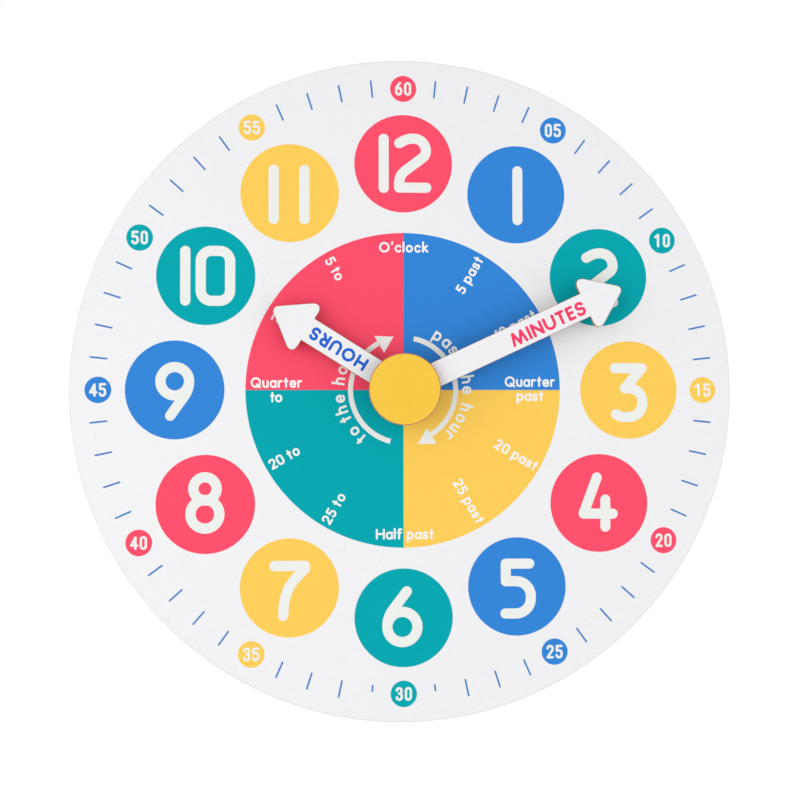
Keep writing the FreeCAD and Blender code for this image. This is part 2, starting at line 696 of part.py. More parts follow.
def rear_plate():
    """Plate that carries the rear pivots, stepped to clear the knob's well."""
    back, front = REAR_PLATE_BACK, rear_plate_front
    step_x = setting_at.x + well_outer + WELL_PLATE_GAP
    step_y = setting_at.y - well_outer - WELL_PLATE_GAP
    low = block(PLATE_LEFT, step_x, PLATE_BOTTOM, step_y, back, front)
    high = block(step_x, PLATE_RIGHT, PLATE_BOTTOM, PLATE_TOP, back, front)
    holes = [disc(pivot_hole, back, front, at) for at in (third_at, intermediate_at, rotor_at)]
    holes.append(disc(minute_tube_bore, back, front))
    return joined(low, high).cut(Part.makeCompound(holes))


# ---- motion work: minute hand, minute wheel, hour hand, setting knob -----------------
def minute_arbor():
    """Tube that carries the minute hand, with the cannon pinion and a clutch flange."""
    tube = disc(MINUTE_TUBE_RADIUS, clutch_back, minute_bush_front)
    flange = disc(CLUTCH_FLANGE_RADIUS, clutch_back, clutch_front)
    leaves = pinion(CANNON_LEAVES, MOTION_MODULE, minute_wheel_back, minute_wheel_front)
    body = joined(tube, flange, leaves)
    return body.cut(disc(minute_tube_bore, clutch_back, minute_bush_front))


def clutch_spring():
    """Dished washer that presses the centre wheel; it slips when the knob is turned."""
    front = centre_back - RUNNING_GAP
    inner, outer = MINUTE_TUBE_RADIUS, CLUTCH_FLANGE_RADIUS
    corners = [
        point(inner, 0, clutch_front),
        point(outer, 0, front - CLUTCH_SHEET),
        point(outer, 0, front),
        point(inner, 0, clutch_front + CLUTCH_SHEET),
    ]
    sides = [line(corners[i], corners[(i + 1) % 4]) for i in range(4)]
    return Part.Face(Part.Wire(sides)).revolve(AXIS, point(0, 0, 1), 360)


def minute_wheel():
    """Minute wheel and its pinion on one arbor, beside the hand axis."""
    at = minute_wheel_at
    body = wheel(
        MINUTE_WHEEL_TEETH, CANNON_LEAVES, MOTION_MODULE,
        minute_wheel_back, minute_wheel_front, at, minute_wheel_phase,
    )
    leaves = gear(
        MINUTE_WHEEL_LEAVES, hour_module, pinion_tip(MINUTE_WHEEL_LEAVES, hour_module),
        minute_wheel_front, hour_wheel_front + PINION_OVERHANG, at,
    )
    rear_pivot = disc(PIVOT_RADIUS, middle_plate_back + PIVOT_INSET, minute_wheel_back, at)
    front_end = case_inner_front + CASE_FRONT / 2
    front_pivot = disc(SETTING_ARBOR_RADIUS, hour_wheel_front, front_end, at)
    return joined(body, leaves, rear_pivot, front_pivot)


def hour_wheel():
    """Hour wheel on the tube that carries the hour hand."""
    body = wheel(
        HOUR_WHEEL_TEETH, MINUTE_WHEEL_LEAVES, hour_module,
        hour_wheel_back, hour_wheel_front, AXIS, hour_wheel_phase,
    )
    shoulder_front = case_inner_front - PLATE_CLEARANCE
    shoulder = disc(HOUR_TUBE_RADIUS + BUSH_WALL, hour_wheel_back, shoulder_front)
    tube = disc(HOUR_TUBE_RADIUS, hour_wheel_back, hour_bush_front)
    return joined(body, shoulder, tube).cut(disc(hour_tube_bore, hour_wheel_back, hour_bush_front))


def setting_pinion():
    """Pinion on the arbor that runs back through the cover to the knob."""
    leaves = pinion(
        SETTING_LEAVES, MOTION_MODULE, minute_wheel_back, minute_wheel_front, setting_at, setting_phase
    )
    arbor_end = case_inner_front + CASE_FRONT / 2
    return joined(leaves, disc(SETTING_ARBOR_RADIUS, KNOB_BACK, arbor_end, setting_at))


def setting_knob():
    body = disc(KNOB_RADIUS, KNOB_BACK, knob_front, setting_at)
    flutes = []
    for i in range(KNOB_FLUTES):
        at = setting_at + bearing(KNOB_RADIUS, 360 / KNOB_FLUTES * i)
        flutes.append(disc(KNOB_FLUTE_RADIUS, KNOB_BACK, knob_front, at))
    flutes.append(disc(SETTING_ARBOR_RADIUS, KNOB_BACK, knob_front, setting_at))
    return body.cut(Part.makeCompound(flutes))


# ---- going train, from the centre wheel back to the rotor ----------------------------
def train_arbor(at):
    front = middle_plate_front - PIVOT_INSET
    return disc(PIVOT_RADIUS, REAR_PLATE_BACK + PIVOT_INSET, front, at)


def centre_wheel():
    """One turn an hour; it drives the minute tube through the slipping clutch."""
    body = wheel(CENTRE_WHEEL_TEETH, TRAIN_LEAVES, centre_module, centre_back, centre_front)
    return body.cut(disc(hour_tube_bore, centre_back, centre_front))


def third_wheel():
    body = wheel(
        THIRD_WHEEL_TEETH, TRAIN_LEAVES, third_module, third_back, third_front, third_at
    )
    leaves = pinion(
        TRAIN_LEAVES, centre_module, centre_back, centre_front, third_at, third_pinion_phase
    )
    hub = disc(HUB_RADIUS, third_front, centre_back, third_at)
    return joined(body, leaves, hub, train_arbor(third_at))


def seconds_wheel():
    """One turn a minute, on the steel arbor in the middle of the clock."""
    body = wheel(SECONDS_WHEEL_TEETH, TRAIN_LEAVES, seconds_module, seconds_back, seconds_front)
    leaves = pinion(
        TRAIN_LEAVES, third_module, third_back, third_front, AXIS, seconds_pinion_phase
    )
    hub = disc(HUB_RADIUS, seconds_front, third_back)
    body = joined(body, leaves, hub)
    return body.cut(disc(SECONDS_ARBOR_RADIUS, seconds_back, third_front + PINION_OVERHANG))


def seconds_arbor():
    back = REAR_PLATE_BACK + PIVOT_INSET
    return disc(SECONDS_ARBOR_RADIUS, back, minute_bush_front - PIVOT_INSET)


def intermediate_wheel():
    at = intermediate_at
    body = wheel(
        INTERMEDIATE_WHEEL_TEETH, TRAIN_LEAVES, intermediate_module,
        intermediate_back, intermediate_front, at,
    )
    leaves = pinion(
        TRAIN_LEAVES, seconds_module, seconds_back, seconds_front, at, intermediate_pinion_phase
    )
    hub = disc(HUB_RADIUS, intermediate_front, seconds_back, at)
    return joined(body, leaves, hub, train_arbor(at))


def rotor_pinion():
    """Pinion, arbor and the sleeve that carries the rotor magnet."""
    leaves = pinion(
        TRAIN_LEAVES, intermediate_module, intermediate_back, intermediate_front,
        rotor_at, rotor_pinion_phase,
    )
    sleeve = disc(ROTOR_SLEEVE_RADIUS, intermediate_front, MAGNET_BACK + MAGNET_LENGTH, rotor_at)
    return joined(leaves, sleeve, train_arbor(rotor_at))


def rotor_magnet():
    return ring(
        MAGNET_RADIUS, ROTOR_SLEEVE_RADIUS, MAGNET_BACK, MAGNET_BACK + MAGNET_LENGTH, rotor_at
    )


# ---- step motor ----------------------------------------------------------------------
def stator_plate():
    """Flat steel yoke round the rotor, with a tab to each end of the coil core."""
    back, front = STATOR_BACK, stator_front
    left = rotor_at.x - stator_hole - STATOR_WEB
    tab_right = coil_x + COIL_CORE_WIDTH / 2
    strip = block(left, stator_right, STATOR_BOTTOM, STATOR_TOP, back, front)
    low = block(left, tab_right, STATOR_BOTTOM, STATOR_BOTTOM + STATOR_TAB, back, front)
    high = block(left, tab_right, STATOR_TOP - STATOR_TAB, STATOR_TOP, back, front)
    holes = [disc(stator_hole, back, front, rotor_at)]
    for offset in STATOR_BOSS_OFFSETS:
        holes.append(disc(STATOR_BOSS_RADIUS / 2, back, front, rotor_at + point(0, offset)))
    return joined(strip, low, high).cut(Part.makeCompound(holes))


def core_block(grow, bottom, top):
    half_width = COIL_CORE_WIDTH / 2 + grow
    half_depth = COIL_CORE_THICKNESS / 2 + grow
    return block(
        coil_x - half_width, coil_x + half_width, bottom, top,
        coil_depth - half_depth, coil_depth + half_depth,
    )


def coil_core():
    return core_block(0.0, STATOR_BOTTOM, STATOR_TOP)


bobbin_bottom = STATOR_BOTTOM + STATOR_TAB + PLATE_CLEARANCE
bobbin_top = STATOR_TOP - STATOR_TAB - PLATE_CLEARANCE


def coil_round(radius, bottom, top):
    return Part.makeCylinder(radius, top - bottom, point(coil_x, bottom, coil_depth), point(0, 1, 0))


def coil_bobbin():
    low_end = bobbin_bottom + BOBBIN_FLANGE_THICKNESS
    high_start = bobbin_top - BOBBIN_FLANGE_THICKNESS
    body = joined(
        core_block(BOBBIN_WALL, bobbin_bottom, bobbin_top),
        coil_round(BOBBIN_FLANGE_RADIUS, bobbin_bottom, low_end),
        coil_round(BOBBIN_FLANGE_RADIUS, high_start, bobbin_top),
    )
    return body.cut(core_block(0.0, bobbin_bottom, bobbin_top))


def coil_winding():
    low_end = bobbin_bottom + BOBBIN_FLANGE_THICKNESS
    high_start = bobbin_top - BOBBIN_FLANGE_THICKNESS
    winding = coil_round(COIL_RADIUS, low_end, high_start)
    return winding.cut(core_block(BOBBIN_WALL, low_end, high_start))


# ---- circuit and battery -------------------------------------------------------------
def circuit_board():
    return block(BOARD_LEFT, BOARD_RIGHT, board_bottom, board_top, BOARD_BACK, board_front)


def chip_blob():
    at = point(CHIP_X, board_middle)
    blob = disc(CHIP_RADIUS, BOARD_BACK - CHIP_HEIGHT, BOARD_BACK, at)
    low = [e for e in blob.Edges if e.CenterOfMass.z < BOARD_BACK - CHIP_HEIGHT / 2]
    rim = [e for e in low if len(e.Vertexes) == 1]
    return blob.makeFillet(CHIP_ROUNDING, rim)


def quartz_crystal():
    start = point(CRYSTAL_LEFT, board_middle, BOARD_BACK - CRYSTAL_RADIUS)
    return Part.makeCylinder(CRYSTAL_RADIUS, CRYSTAL_LENGTH, start, point(1, 0, 0))


def wall_strip():
    """Band as thick as a contact, round the inside of the case at the strips' depth."""
    outer = rounded_square(case_inner_half, case_inner_corner, CONTACT_STRIP_BACK, BOARD_BACK)
    inner_half = case_inner_half - CONTACT_THICKNESS
    inner_corner = case_inner_corner - CONTACT_THICKNESS
    return outer.cut(rounded_square(inner_half, inner_corner, CONTACT_STRIP_BACK, BOARD_BACK))


def contact_plate():
    """Upright plate on the right wall of the bay, against the battery's end."""
    inside = case_inner_half
    half = CONTACT_PLATE_HALF
    back, front = BOARD_BACK - CONTACT_PLATE_LAP, battery_depth + half
    return block(
        inside - CONTACT_THICKNESS, inside, battery_y - half, battery_y + half, back, front
    )


def contact_riser(top):
    """Strip from beside the battery up the right wall to the height top."""
    inside = case_inner_half
    back = CONTACT_STRIP_BACK
    return block(inside - CONTACT_THICKNESS, inside, battery_y, top, back, BOARD_BACK)


def battery_contact_positive():
    tab_top = board_middle
    tab_bottom = tab_top - CONTACT_TAB_WIDTH
    tab_left = BOARD_RIGHT - CONTACT_TAB_OVERLAP
    tab_back = BOARD_BACK - CONTACT_THICKNESS
    tab = block(tab_left, case_inner_half, tab_bottom, tab_top, tab_back, BOARD_BACK)
    return joined(contact_plate(), contact_riser(tab_top), tab)


def battery_contact_negative():
    """Left wall plate with a bowed leaf, and a strip over the top wall to the board."""
    inside = case_inner_half
    tab_left = BOARD_LEFT + PLATE_CLEARANCE
    tab_right = tab_left + CONTACT_TAB_WIDTH
    strip = wall_strip().common(block(-inside, tab_right, 0, inside, 0, case_inner_front))
    tab_bottom = board_top - CONTACT_TAB_OVERLAP
    tab_back = BOARD_BACK - CONTACT_THICKNESS
    tab = block(tab_left, tab_right, tab_bottom, inside, tab_back, BOARD_BACK)
    root_x = -inside + CONTACT_THICKNESS
    crest_x = battery_left - LOOSE_GAP
    half = CONTACT_PLATE_HALF
    sheet = CONTACT_THICKNESS
    low, high = battery_y - half, battery_y + half
    front_arc = arc(point(root_x, low), point(crest_x, battery_y), point(root_x, high))
    back_low, back_high = point(root_x, low + sheet), point(root_x, high - sheet)
    back_arc = arc(back_low, point(crest_x - sheet, battery_y), back_high)
    foot_low = line(point(root_x, low), back_low)
    foot_high = line(point(root_x, high), back_high)
    edges = Part.__sortEdges__([front_arc, back_arc, foot_low, foot_high])
    leaf = prism(edges, battery_depth - half / 2, battery_depth + half / 2)
    return joined(mirrored(contact_plate()), mirrored(contact_riser(0.0)), strip, tab, leaf)


def battery_cylinder(radius, left, right):
    start = point(left, battery_y, battery_depth)
    return Part.makeCylinder(radius, right - left, start, point(1, 0, 0))


def battery_can():
    shoulder = battery_right - BATTERY_NUB_LENGTH
    can = battery_cylinder(battery_radius - BATTERY_SLEEVE, battery_left, shoulder)
    return joined(can, battery_cylinder(BATTERY_NUB_RADIUS, shoulder, battery_right))


def battery_sleeve():
    left = battery_left + BATTERY_SLEEVE_INSET
    right = battery_right - BATTERY_NUB_LENGTH - BATTERY_SLEEVE_INSET
    sleeve = battery_cylinder(battery_radius, left, right)
    return sleeve.cut(battery_cylinder(battery_radius - BATTERY_SLEEVE, left, right))


PIECES = (
    dial_plate,
    movement_case,
    back_cover,
    hanger_plate,
    rubber_gasket,
    dial_washer,
    hex_nut,
    middle_plate,
    rear_plate,
    circuit_board,
    chip_blob,
    quartz_crystal,
    stator_plate,
    coil_core,
    coil_bobbin,
    coil_winding,
    battery_contact_positive,
    battery_contact_negative,
    battery_can,
    battery_sleeve,
    minute_arbor,
    clutch_spring,
    minute_hand_bush,
    minute_hand,
    cap_pad,
    hand_cap,
    hour_wheel,
    hour_hand_bush,
    hour_hand,
    minute_wheel,
    setting_pinion,
    setting_knob,
    centre_wheel,
    third_wheel,
    seconds_wheel,
    seconds_arbor,
    intermediate_wheel,
    rotor_pinion,
    rotor_magnet,
)


def stand_up(shape):
    """Turn a piece from lying on its back to hanging on the wall."""
    shape.rotate(AXIS, point(1, 0, 0), 90)
    return shape


os.makedirs("parts", exist_ok=True)
for piece in PIECES:
    shape = stand_up(piece())
    solids = shape.Solids
    shape = solids[0] if len(solids) == 1 else Part.makeCompound(solids)
    shape.exportStep(f"parts/{piece.__name__}.step")
    print(f"{piece.__name__:26s} solids {len(solids)}  volume {shape.Volume:10.3f} mm3")
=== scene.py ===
"""Round wall clock for learning to tell the time, with two arrow hands on a printed board.

Every piece is drawn in millimetres with the clock lying on its back: x to the right, y up
the dial and z towards the viewer, measured from the wall. STAND_UP then turns it upright and
scales it to metres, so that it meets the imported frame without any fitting.
"""

import json
import logging
import math
from collections.abc import Sequence
from dataclasses import dataclass
from enum import Enum

import bmesh
import bpy
from mathutils import Matrix, Vector


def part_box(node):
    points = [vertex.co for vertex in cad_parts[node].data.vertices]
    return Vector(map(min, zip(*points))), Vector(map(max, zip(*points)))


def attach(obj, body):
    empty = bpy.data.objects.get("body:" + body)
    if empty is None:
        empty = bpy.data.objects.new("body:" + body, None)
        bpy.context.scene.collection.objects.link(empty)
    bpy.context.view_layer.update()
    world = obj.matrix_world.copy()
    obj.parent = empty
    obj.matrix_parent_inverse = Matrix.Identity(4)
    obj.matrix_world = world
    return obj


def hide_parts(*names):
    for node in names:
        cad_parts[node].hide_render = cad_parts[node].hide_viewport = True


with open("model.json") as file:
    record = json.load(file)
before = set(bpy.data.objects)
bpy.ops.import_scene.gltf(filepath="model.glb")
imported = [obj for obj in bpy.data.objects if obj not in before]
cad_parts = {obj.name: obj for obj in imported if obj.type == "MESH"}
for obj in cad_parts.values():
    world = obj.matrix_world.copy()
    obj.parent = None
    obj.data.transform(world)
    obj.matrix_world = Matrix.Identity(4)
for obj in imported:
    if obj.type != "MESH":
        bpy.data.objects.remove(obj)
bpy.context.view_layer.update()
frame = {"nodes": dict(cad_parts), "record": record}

log = logging.getLogger("clock")

MILLIMETRE = 0.001
STAND_UP = Matrix.Rotation(math.radians(90.0), 4, "X") @ Matrix.Scale(MILLIMETRE, 4)
WELD = 0.0003  # doubles nearer than this are one corner
CHORD_GAP = 0.01  # how far the side of a pen stroke's arc may lie inside the true arc
RUN_STEP = 0.0015  # how much higher each overlapping stroke lies
RUN_LEVELS = 5  # how many strokes of one run may overlap before the next run starts
INK_BEDDING = 0.25  # how far from its board ink starts, as a share of how far it stands proud
SMOOTH_LIMIT = math.radians(35.0)
MIX_FIRST, MIX_SECOND, MIX_COLOUR = 6, 7, 2  # a Mix node's colour sockets, which share their names

Colour = tuple[int, int, int]
Corner = tuple[float, ...]  # x and y, and at a rounded corner its radius


def linear(colour: Colour) -> tuple[float, float, float, float]:
    """Turns a screen colour into the linear one that shaders take.

    Args:
        colour: Red, green and blue from 0 to 255.

    Returns:
        The same colour in linear light, with an alpha of one.
    """
    parts = []
    for part in colour:
        share = part / 255.0
        parts.append(share / 12.92 if share <= 0.04045 else ((share + 0.055) / 1.055) ** 2.4)
    return (*parts, 1.0)


def node_depths(node: str) -> tuple[float, float]:
    """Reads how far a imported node's back and front are from the wall.

    Args:
        node: The node's name.

    Returns:
        The depth of its back and of its front, in millimetres.
    """
    low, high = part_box(node)
    return -high.y / MILLIMETRE, -low.y / MILLIMETRE


def node_radius(node: str) -> float:
    """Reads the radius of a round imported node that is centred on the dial.

    Args:
        node: The node's name.

    Returns:
        Its smallest reach from the dial's centre, in millimetres.
    """
    low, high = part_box(node)
    return min(-low.x, high.x, -low.z, high.z) / MILLIMETRE


def add_object(name: str, data: bpy.types.ID) -> bpy.types.Object:
    """Adds an object to the scene.

    Args:
        name: The object's name.
        data: Its mesh, lamp or camera.

    Returns:
        The object.
    """
    made = bpy.data.objects.new(name, data)
    bpy.context.scene.collection.objects.link(made)
    return made


# ---- finishes ------------------------------------------------------------------------


class Recipe:
    """The nodes of one material or of the sky, added and joined one at a time."""

    def __init__(self, owner: bpy.types.Material | bpy.types.World) -> None:
        """Starts with the nodes that Blender gives to a new material or sky.

        Args:
            owner: The material or the sky.
        """
        owner.use_nodes = True
        self.owner = owner
        self.tree = owner.node_tree

    @classmethod
    def material(cls, name: str) -> "Recipe":
        """Starts a material that holds a plain shader."""
        return cls(bpy.data.materials.new(name))

    @property
    def shader(self) -> bpy.types.Node:
        """Finds the material's plain shader."""
        return self.tree.nodes["Principled BSDF"]

    def node(
        self, kind: str, sockets: dict[str, object] | None = None, **options: object
    ) -> bpy.types.Node:
        """Adds a node.

        Args:
            kind: The node's type name without its "ShaderNode" prefix.
            sockets: Values for its inputs, by the input's name.
            options: Values for its own settings.

        Returns:
            The new node.
        """
        made = self.tree.nodes.new("ShaderNode" + kind)
        for option, value in options.items():
            setattr(made, option, value)
        for socket, value in (sockets or {}).items():
            made.inputs[socket].default_value = value
        return made

    def join(
        self, source: bpy.types.Node, output: str | int, target: bpy.types.Node, socket: str | int
    ) -> None:
        """Leads one node's output into another node's input."""
        self.tree.links.new(source.outputs[output], target.inputs[socket])

    def place(self, size: Sequence[float] = (1.0, 1.0, 1.0)) -> bpy.types.Node:
        """Lays a pattern in the object's own space.

        Args:
            size: The size of the pattern's grain along x, y and z, in millimetres.

        Returns:
            The Mapping node, whose Vector output the pattern reads.
        """
        mapping = self.node("Mapping", {"Scale": [1.0 / (MILLIMETRE * along) for along in size]})
        self.join(self.node("TexCoord"), "Object", mapping, "Vector")
        return mapping

    def grain(
        self, size: Sequence[float], detail: float = 3.0, roughness: float = 0.55
    ) -> bpy.types.Node:
        """Adds cloudy noise of a given grain size.

        Args:
            size: The grain's size along x, y and z, in millimetres.
            detail: How many finer layers it has.
            roughness: How strong those layers are.

        Returns:
            The Noise Texture node.
        """
        noise = self.node("TexNoise", {"Scale": 1.0, "Detail": detail, "Roughness": roughness})
        self.join(self.place(size), "Vector", noise, "Vector")
        return noise

    def between(
        self, source: bpy.types.Node, output: str, low: float, high: float,
        limits: tuple[float, float] = (0.3, 0.7),
    ) -> bpy.types.Node:
        """Maps a pattern to a range.

        Args:
            source: The node that makes the pattern.
            output: The name of its output.
            low: The value where the pattern is at its lower limit.
            high: The value where it is at its upper limit.
            limits: The pattern's own limits.

        Returns:
            The Map Range node.
        """
        sockets = {"From Min": limits[0], "From Max": limits[1], "To Min": low, "To Max": high}
        mapped = self.node("MapRange", sockets)
        self.join(source, output, mapped, "Value")
        return mapped

    def blend(
        self, factor: bpy.types.Node, output: str, first: Colour, second: Colour
    ) -> bpy.types.Node:
        """Mixes two colours by a pattern.

        Args:
            factor: The node that makes the pattern.
            output: The name of its output.
            first: The colour where the pattern is 0.
            second: The colour where it is 1.

        Returns:
            The Mix node.
        """
        mix = self.node("Mix", data_type="RGBA")
        self.join(factor, output, mix, 0)
        mix.inputs[MIX_FIRST].default_value = linear(first)
        mix.inputs[MIX_SECOND].default_value = linear(second)
        return mix

    def tint(self, mix: bpy.types.Node) -> None:
        """Leads a colour mix into the shader's base colour."""
        self.join(mix, MIX_COLOUR, self.shader, "Base Color")

    def bump(self, source: bpy.types.Node, output: str, height: float) -> None:
        """Raises the surface by a pattern.

        Args:
            source: The node that makes the pattern.
            output: The name of its output.
            height: How high it rises, in millimetres.
        """
        relief = self.node("Bump", {"Strength": 1.0, "Distance": height * MILLIMETRE})
        self.join(source, output, relief, "Height")
        self.join(relief, "Normal", self.shader, "Normal")


def shaded(colour: Colour, share: float) -> Colour:
    """Makes a colour darker or lighter.

    Args:
        colour: Red, green and blue from 0 to 255.
        share: What each part is multiplied by.

    Returns:
        The new colour.
    """
    return tuple(min(255, round(part * share)) for part in colour)


@dataclass(frozen=True)
class Finish:
    """A surface with a fine grain that varies its colour, its gloss and its height."""

    name: str
    colour: Colour
    roughness: float = 0.5
    roughness_spread: float = 0.08
    grain: tuple[float, float, float] = (0.6, 0.6, 0.6)  # along x, y and z, in millimetres
    shade: float = 0.96  # how dark the grain's dark side is
    relief: float = 0.01  # how high the grain stands, in millimetres
    metallic: float = 0.0
    specular: float = 0.5

    def base(self) -> Recipe:
        """Makes the shader with its constant values.

        Returns:
            The recipe to add patterns to.
        """
        recipe = Recipe.material(self.name)
        recipe.shader.inputs["Metallic"].default_value = self.metallic
        recipe.shader.inputs["Specular IOR Level"].default_value = self.specular
        return recipe

    def gloss(self, recipe: Recipe, source: bpy.types.Node, output: str) -> None:
        """Varies the roughness by a pattern, around this finish's own value.

        Args:
            recipe: The material in the making.
            source: The node that makes the pattern.
            output: The name of its output.
        """
        low = self.roughness - self.roughness_spread
        high = self.roughness + self.roughness_spread
        recipe.join(recipe.between(source, output, low, high), "Result", recipe.shader, "Roughness")

    def make(self) -> bpy.types.Material:
        """Makes the material: one noise for colour, gloss and relief.

        Returns:
            The finished material.
        """
        recipe = self.base()
        noise = recipe.grain(self.grain)
        steps = recipe.between(noise, "Fac", 0.0, 1.0)
        recipe.tint(recipe.blend(steps, "Result", shaded(self.colour, self.shade), self.colour))
        self.gloss(recipe, noise, "Fac")
        recipe.bump(noise, "Fac", self.relief)
        return recipe.owner


@dataclass(frozen=True)
class Ink(Finish):
    """Printing ink: smooth, half matt, and much the same all over."""

    roughness_spread: float = 0.06
    grain: tuple[float, float, float] = (0.9, 0.9, 0.9)
    shade: float = 0.975
    relief: float = 0.003
    specular: float = 0.15


@dataclass(frozen=True)
class GlowInk(Finish):
    """Thick pale ink that stores light and gives off a trace of green."""

    glow: Colour = (160, 255, 90)
    glow_strength: float = 0.015

    def base(self) -> Recipe:
        """Makes the shader with its weak glow.

        Returns:
            The recipe to add patterns to.
        """
        recipe = super().base()
        recipe.shader.inputs["Emission Color"].default_value = linear(self.glow)
        recipe.shader.inputs["Emission Strength"].default_value = self.glow_strength
        return recipe


@dataclass(frozen=True)
class FibreBoard(Finish):
    """Pressed fibre: short strands that lie both ways, over faint cloudy patches."""

    fibre: Colour = (150, 112, 74)
    fibre_length: float = 1.5
    fibre_width: float = 0.3
    patch: float = 14.0
    fibre_limits: tuple[float, float] = (0.54, 0.74)  # where the noise starts and ends a strand
    fibre_strength: float = 0.7

    def make(self) -> bpy.types.Material:
        """Makes the material: strands over patches.

        Returns:
            The finished material.
        """
        recipe = self.base()
        thin = self.fibre_width
        patches = recipe.grain((self.patch,) * 3)
        level = recipe.grain((self.fibre_length, thin, thin), detail=4.0, roughness=0.7)
        upright = recipe.grain((thin, thin, self.fibre_length), detail=4.0, roughness=0.7)
        fibres = recipe.node("Math", operation="MAXIMUM")
        recipe.join(level, "Fac", fibres, 0)
        recipe.join(upright, "Fac", fibres, 1)
        cloudy = recipe.between(patches, "Fac", 0.0, 1.0)
        under = recipe.blend(cloudy, "Result", shaded(self.colour, self.shade), self.colour)
        strands = recipe.between(fibres, "Value", 0.0, self.fibre_strength, self.fibre_limits)
        over = recipe.blend(strands, "Result", self.colour, self.fibre)
        recipe.join(under, MIX_COLOUR, over, MIX_FIRST)
        recipe.tint(over)
        self.gloss(recipe, fibres, "Value")
        recipe.bump(fibres, "Value", self.relief)
        return recipe.owner


@dataclass(frozen=True)
class ScorchedEdge(Finish):
    """An edge cut by a laser: brown, with darker streaks straight through the board."""

    streak: Colour = (140, 88, 62)
    streak_size: tuple[float, float, float] = (0.35, 3.0, 0.35)
    streak_limits: tuple[float, float] = (0.35, 0.65)

    def make(self) -> bpy.types.Material:
        """Makes the material: streaks that run from back to front.

        Returns:
            The finished material.
        """
        recipe = self.base()
        streaks = recipe.grain(self.streak_size, detail=4.0, roughness=0.65)
        depth = recipe.between(streaks, "Fac", 0.0, 1.0, self.streak_limits)
        recipe.tint(recipe.blend(depth, "Result", self.streak, self.colour))
        self.gloss(recipe, streaks, "Fac")
        recipe.bump(streaks, "Fac", self.relief)
        return recipe.owner


@dataclass(frozen=True)
class WoundFinish(Finish):
    """Turns of fine wire round an upright core, side by side, with painted shade in the grooves between
    them.
    """

    pitch: float = 0.2
    # painted shade: the dark colour laid in the grooves between the turns
    groove: Colour = (60, 40, 20)
    crest_limits: tuple[float, float] = (0.1, 0.6)

    BAND_PERIOD = math.tau / 20.0  # of Blender's band pattern at a scale of one

    def make(self) -> bpy.types.Material:
        """Makes the material: even grooves one pitch apart, darkened with painted shade, with a gloss that
        varies finely.

        Returns:
            The finished material.
        """
        recipe = self.base()
        noise = recipe.grain(self.grain)
        wave = recipe.node(
            "TexWave", {"Scale": self.BAND_PERIOD / self.pitch, "Distortion": 0.0},
            wave_type="BANDS", bands_direction="Z",
        )
        recipe.join(recipe.place(), "Vector", wave, "Vector")
        crest = recipe.between(wave, "Fac", 0.0, 1.0, self.crest_limits)
        recipe.tint(recipe.blend(crest, "Result", self.groove, self.colour))
        self.gloss(recipe, noise, "Fac")
        recipe.bump(wave, "Fac", self.relief)
        return recipe.owner


@dataclass(frozen=True)
class CellSleeve(Finish):
    """The printed plastic film round a battery: a plain colour with a pale band at one end."""

    band: Colour = (214, 216, 214)
    band_end: float = 15.5  # where the band starts, in millimetres along the cell
    band_edge: float = 0.3

    def make(self) -> bpy.types.Material:
        """Makes the material: two colours with a soft line between them.

        Returns:
            The finished material.
        """
        recipe = self.base()
        noise = recipe.grain(self.grain)
        along = recipe.node("SeparateXYZ")
        recipe.join(recipe.place(), "Vector", along, "Vector")
        limits = (self.band_end, self.band_end + self.band_edge)
        print_line = recipe.between(along, "X", 0.0, 1.0, limits)
        recipe.tint(recipe.blend(print_line, "Result", self.colour, self.band))
        self.gloss(recipe, noise, "Fac")
        recipe.bump(noise, "Fac", self.relief)
        return recipe.owner


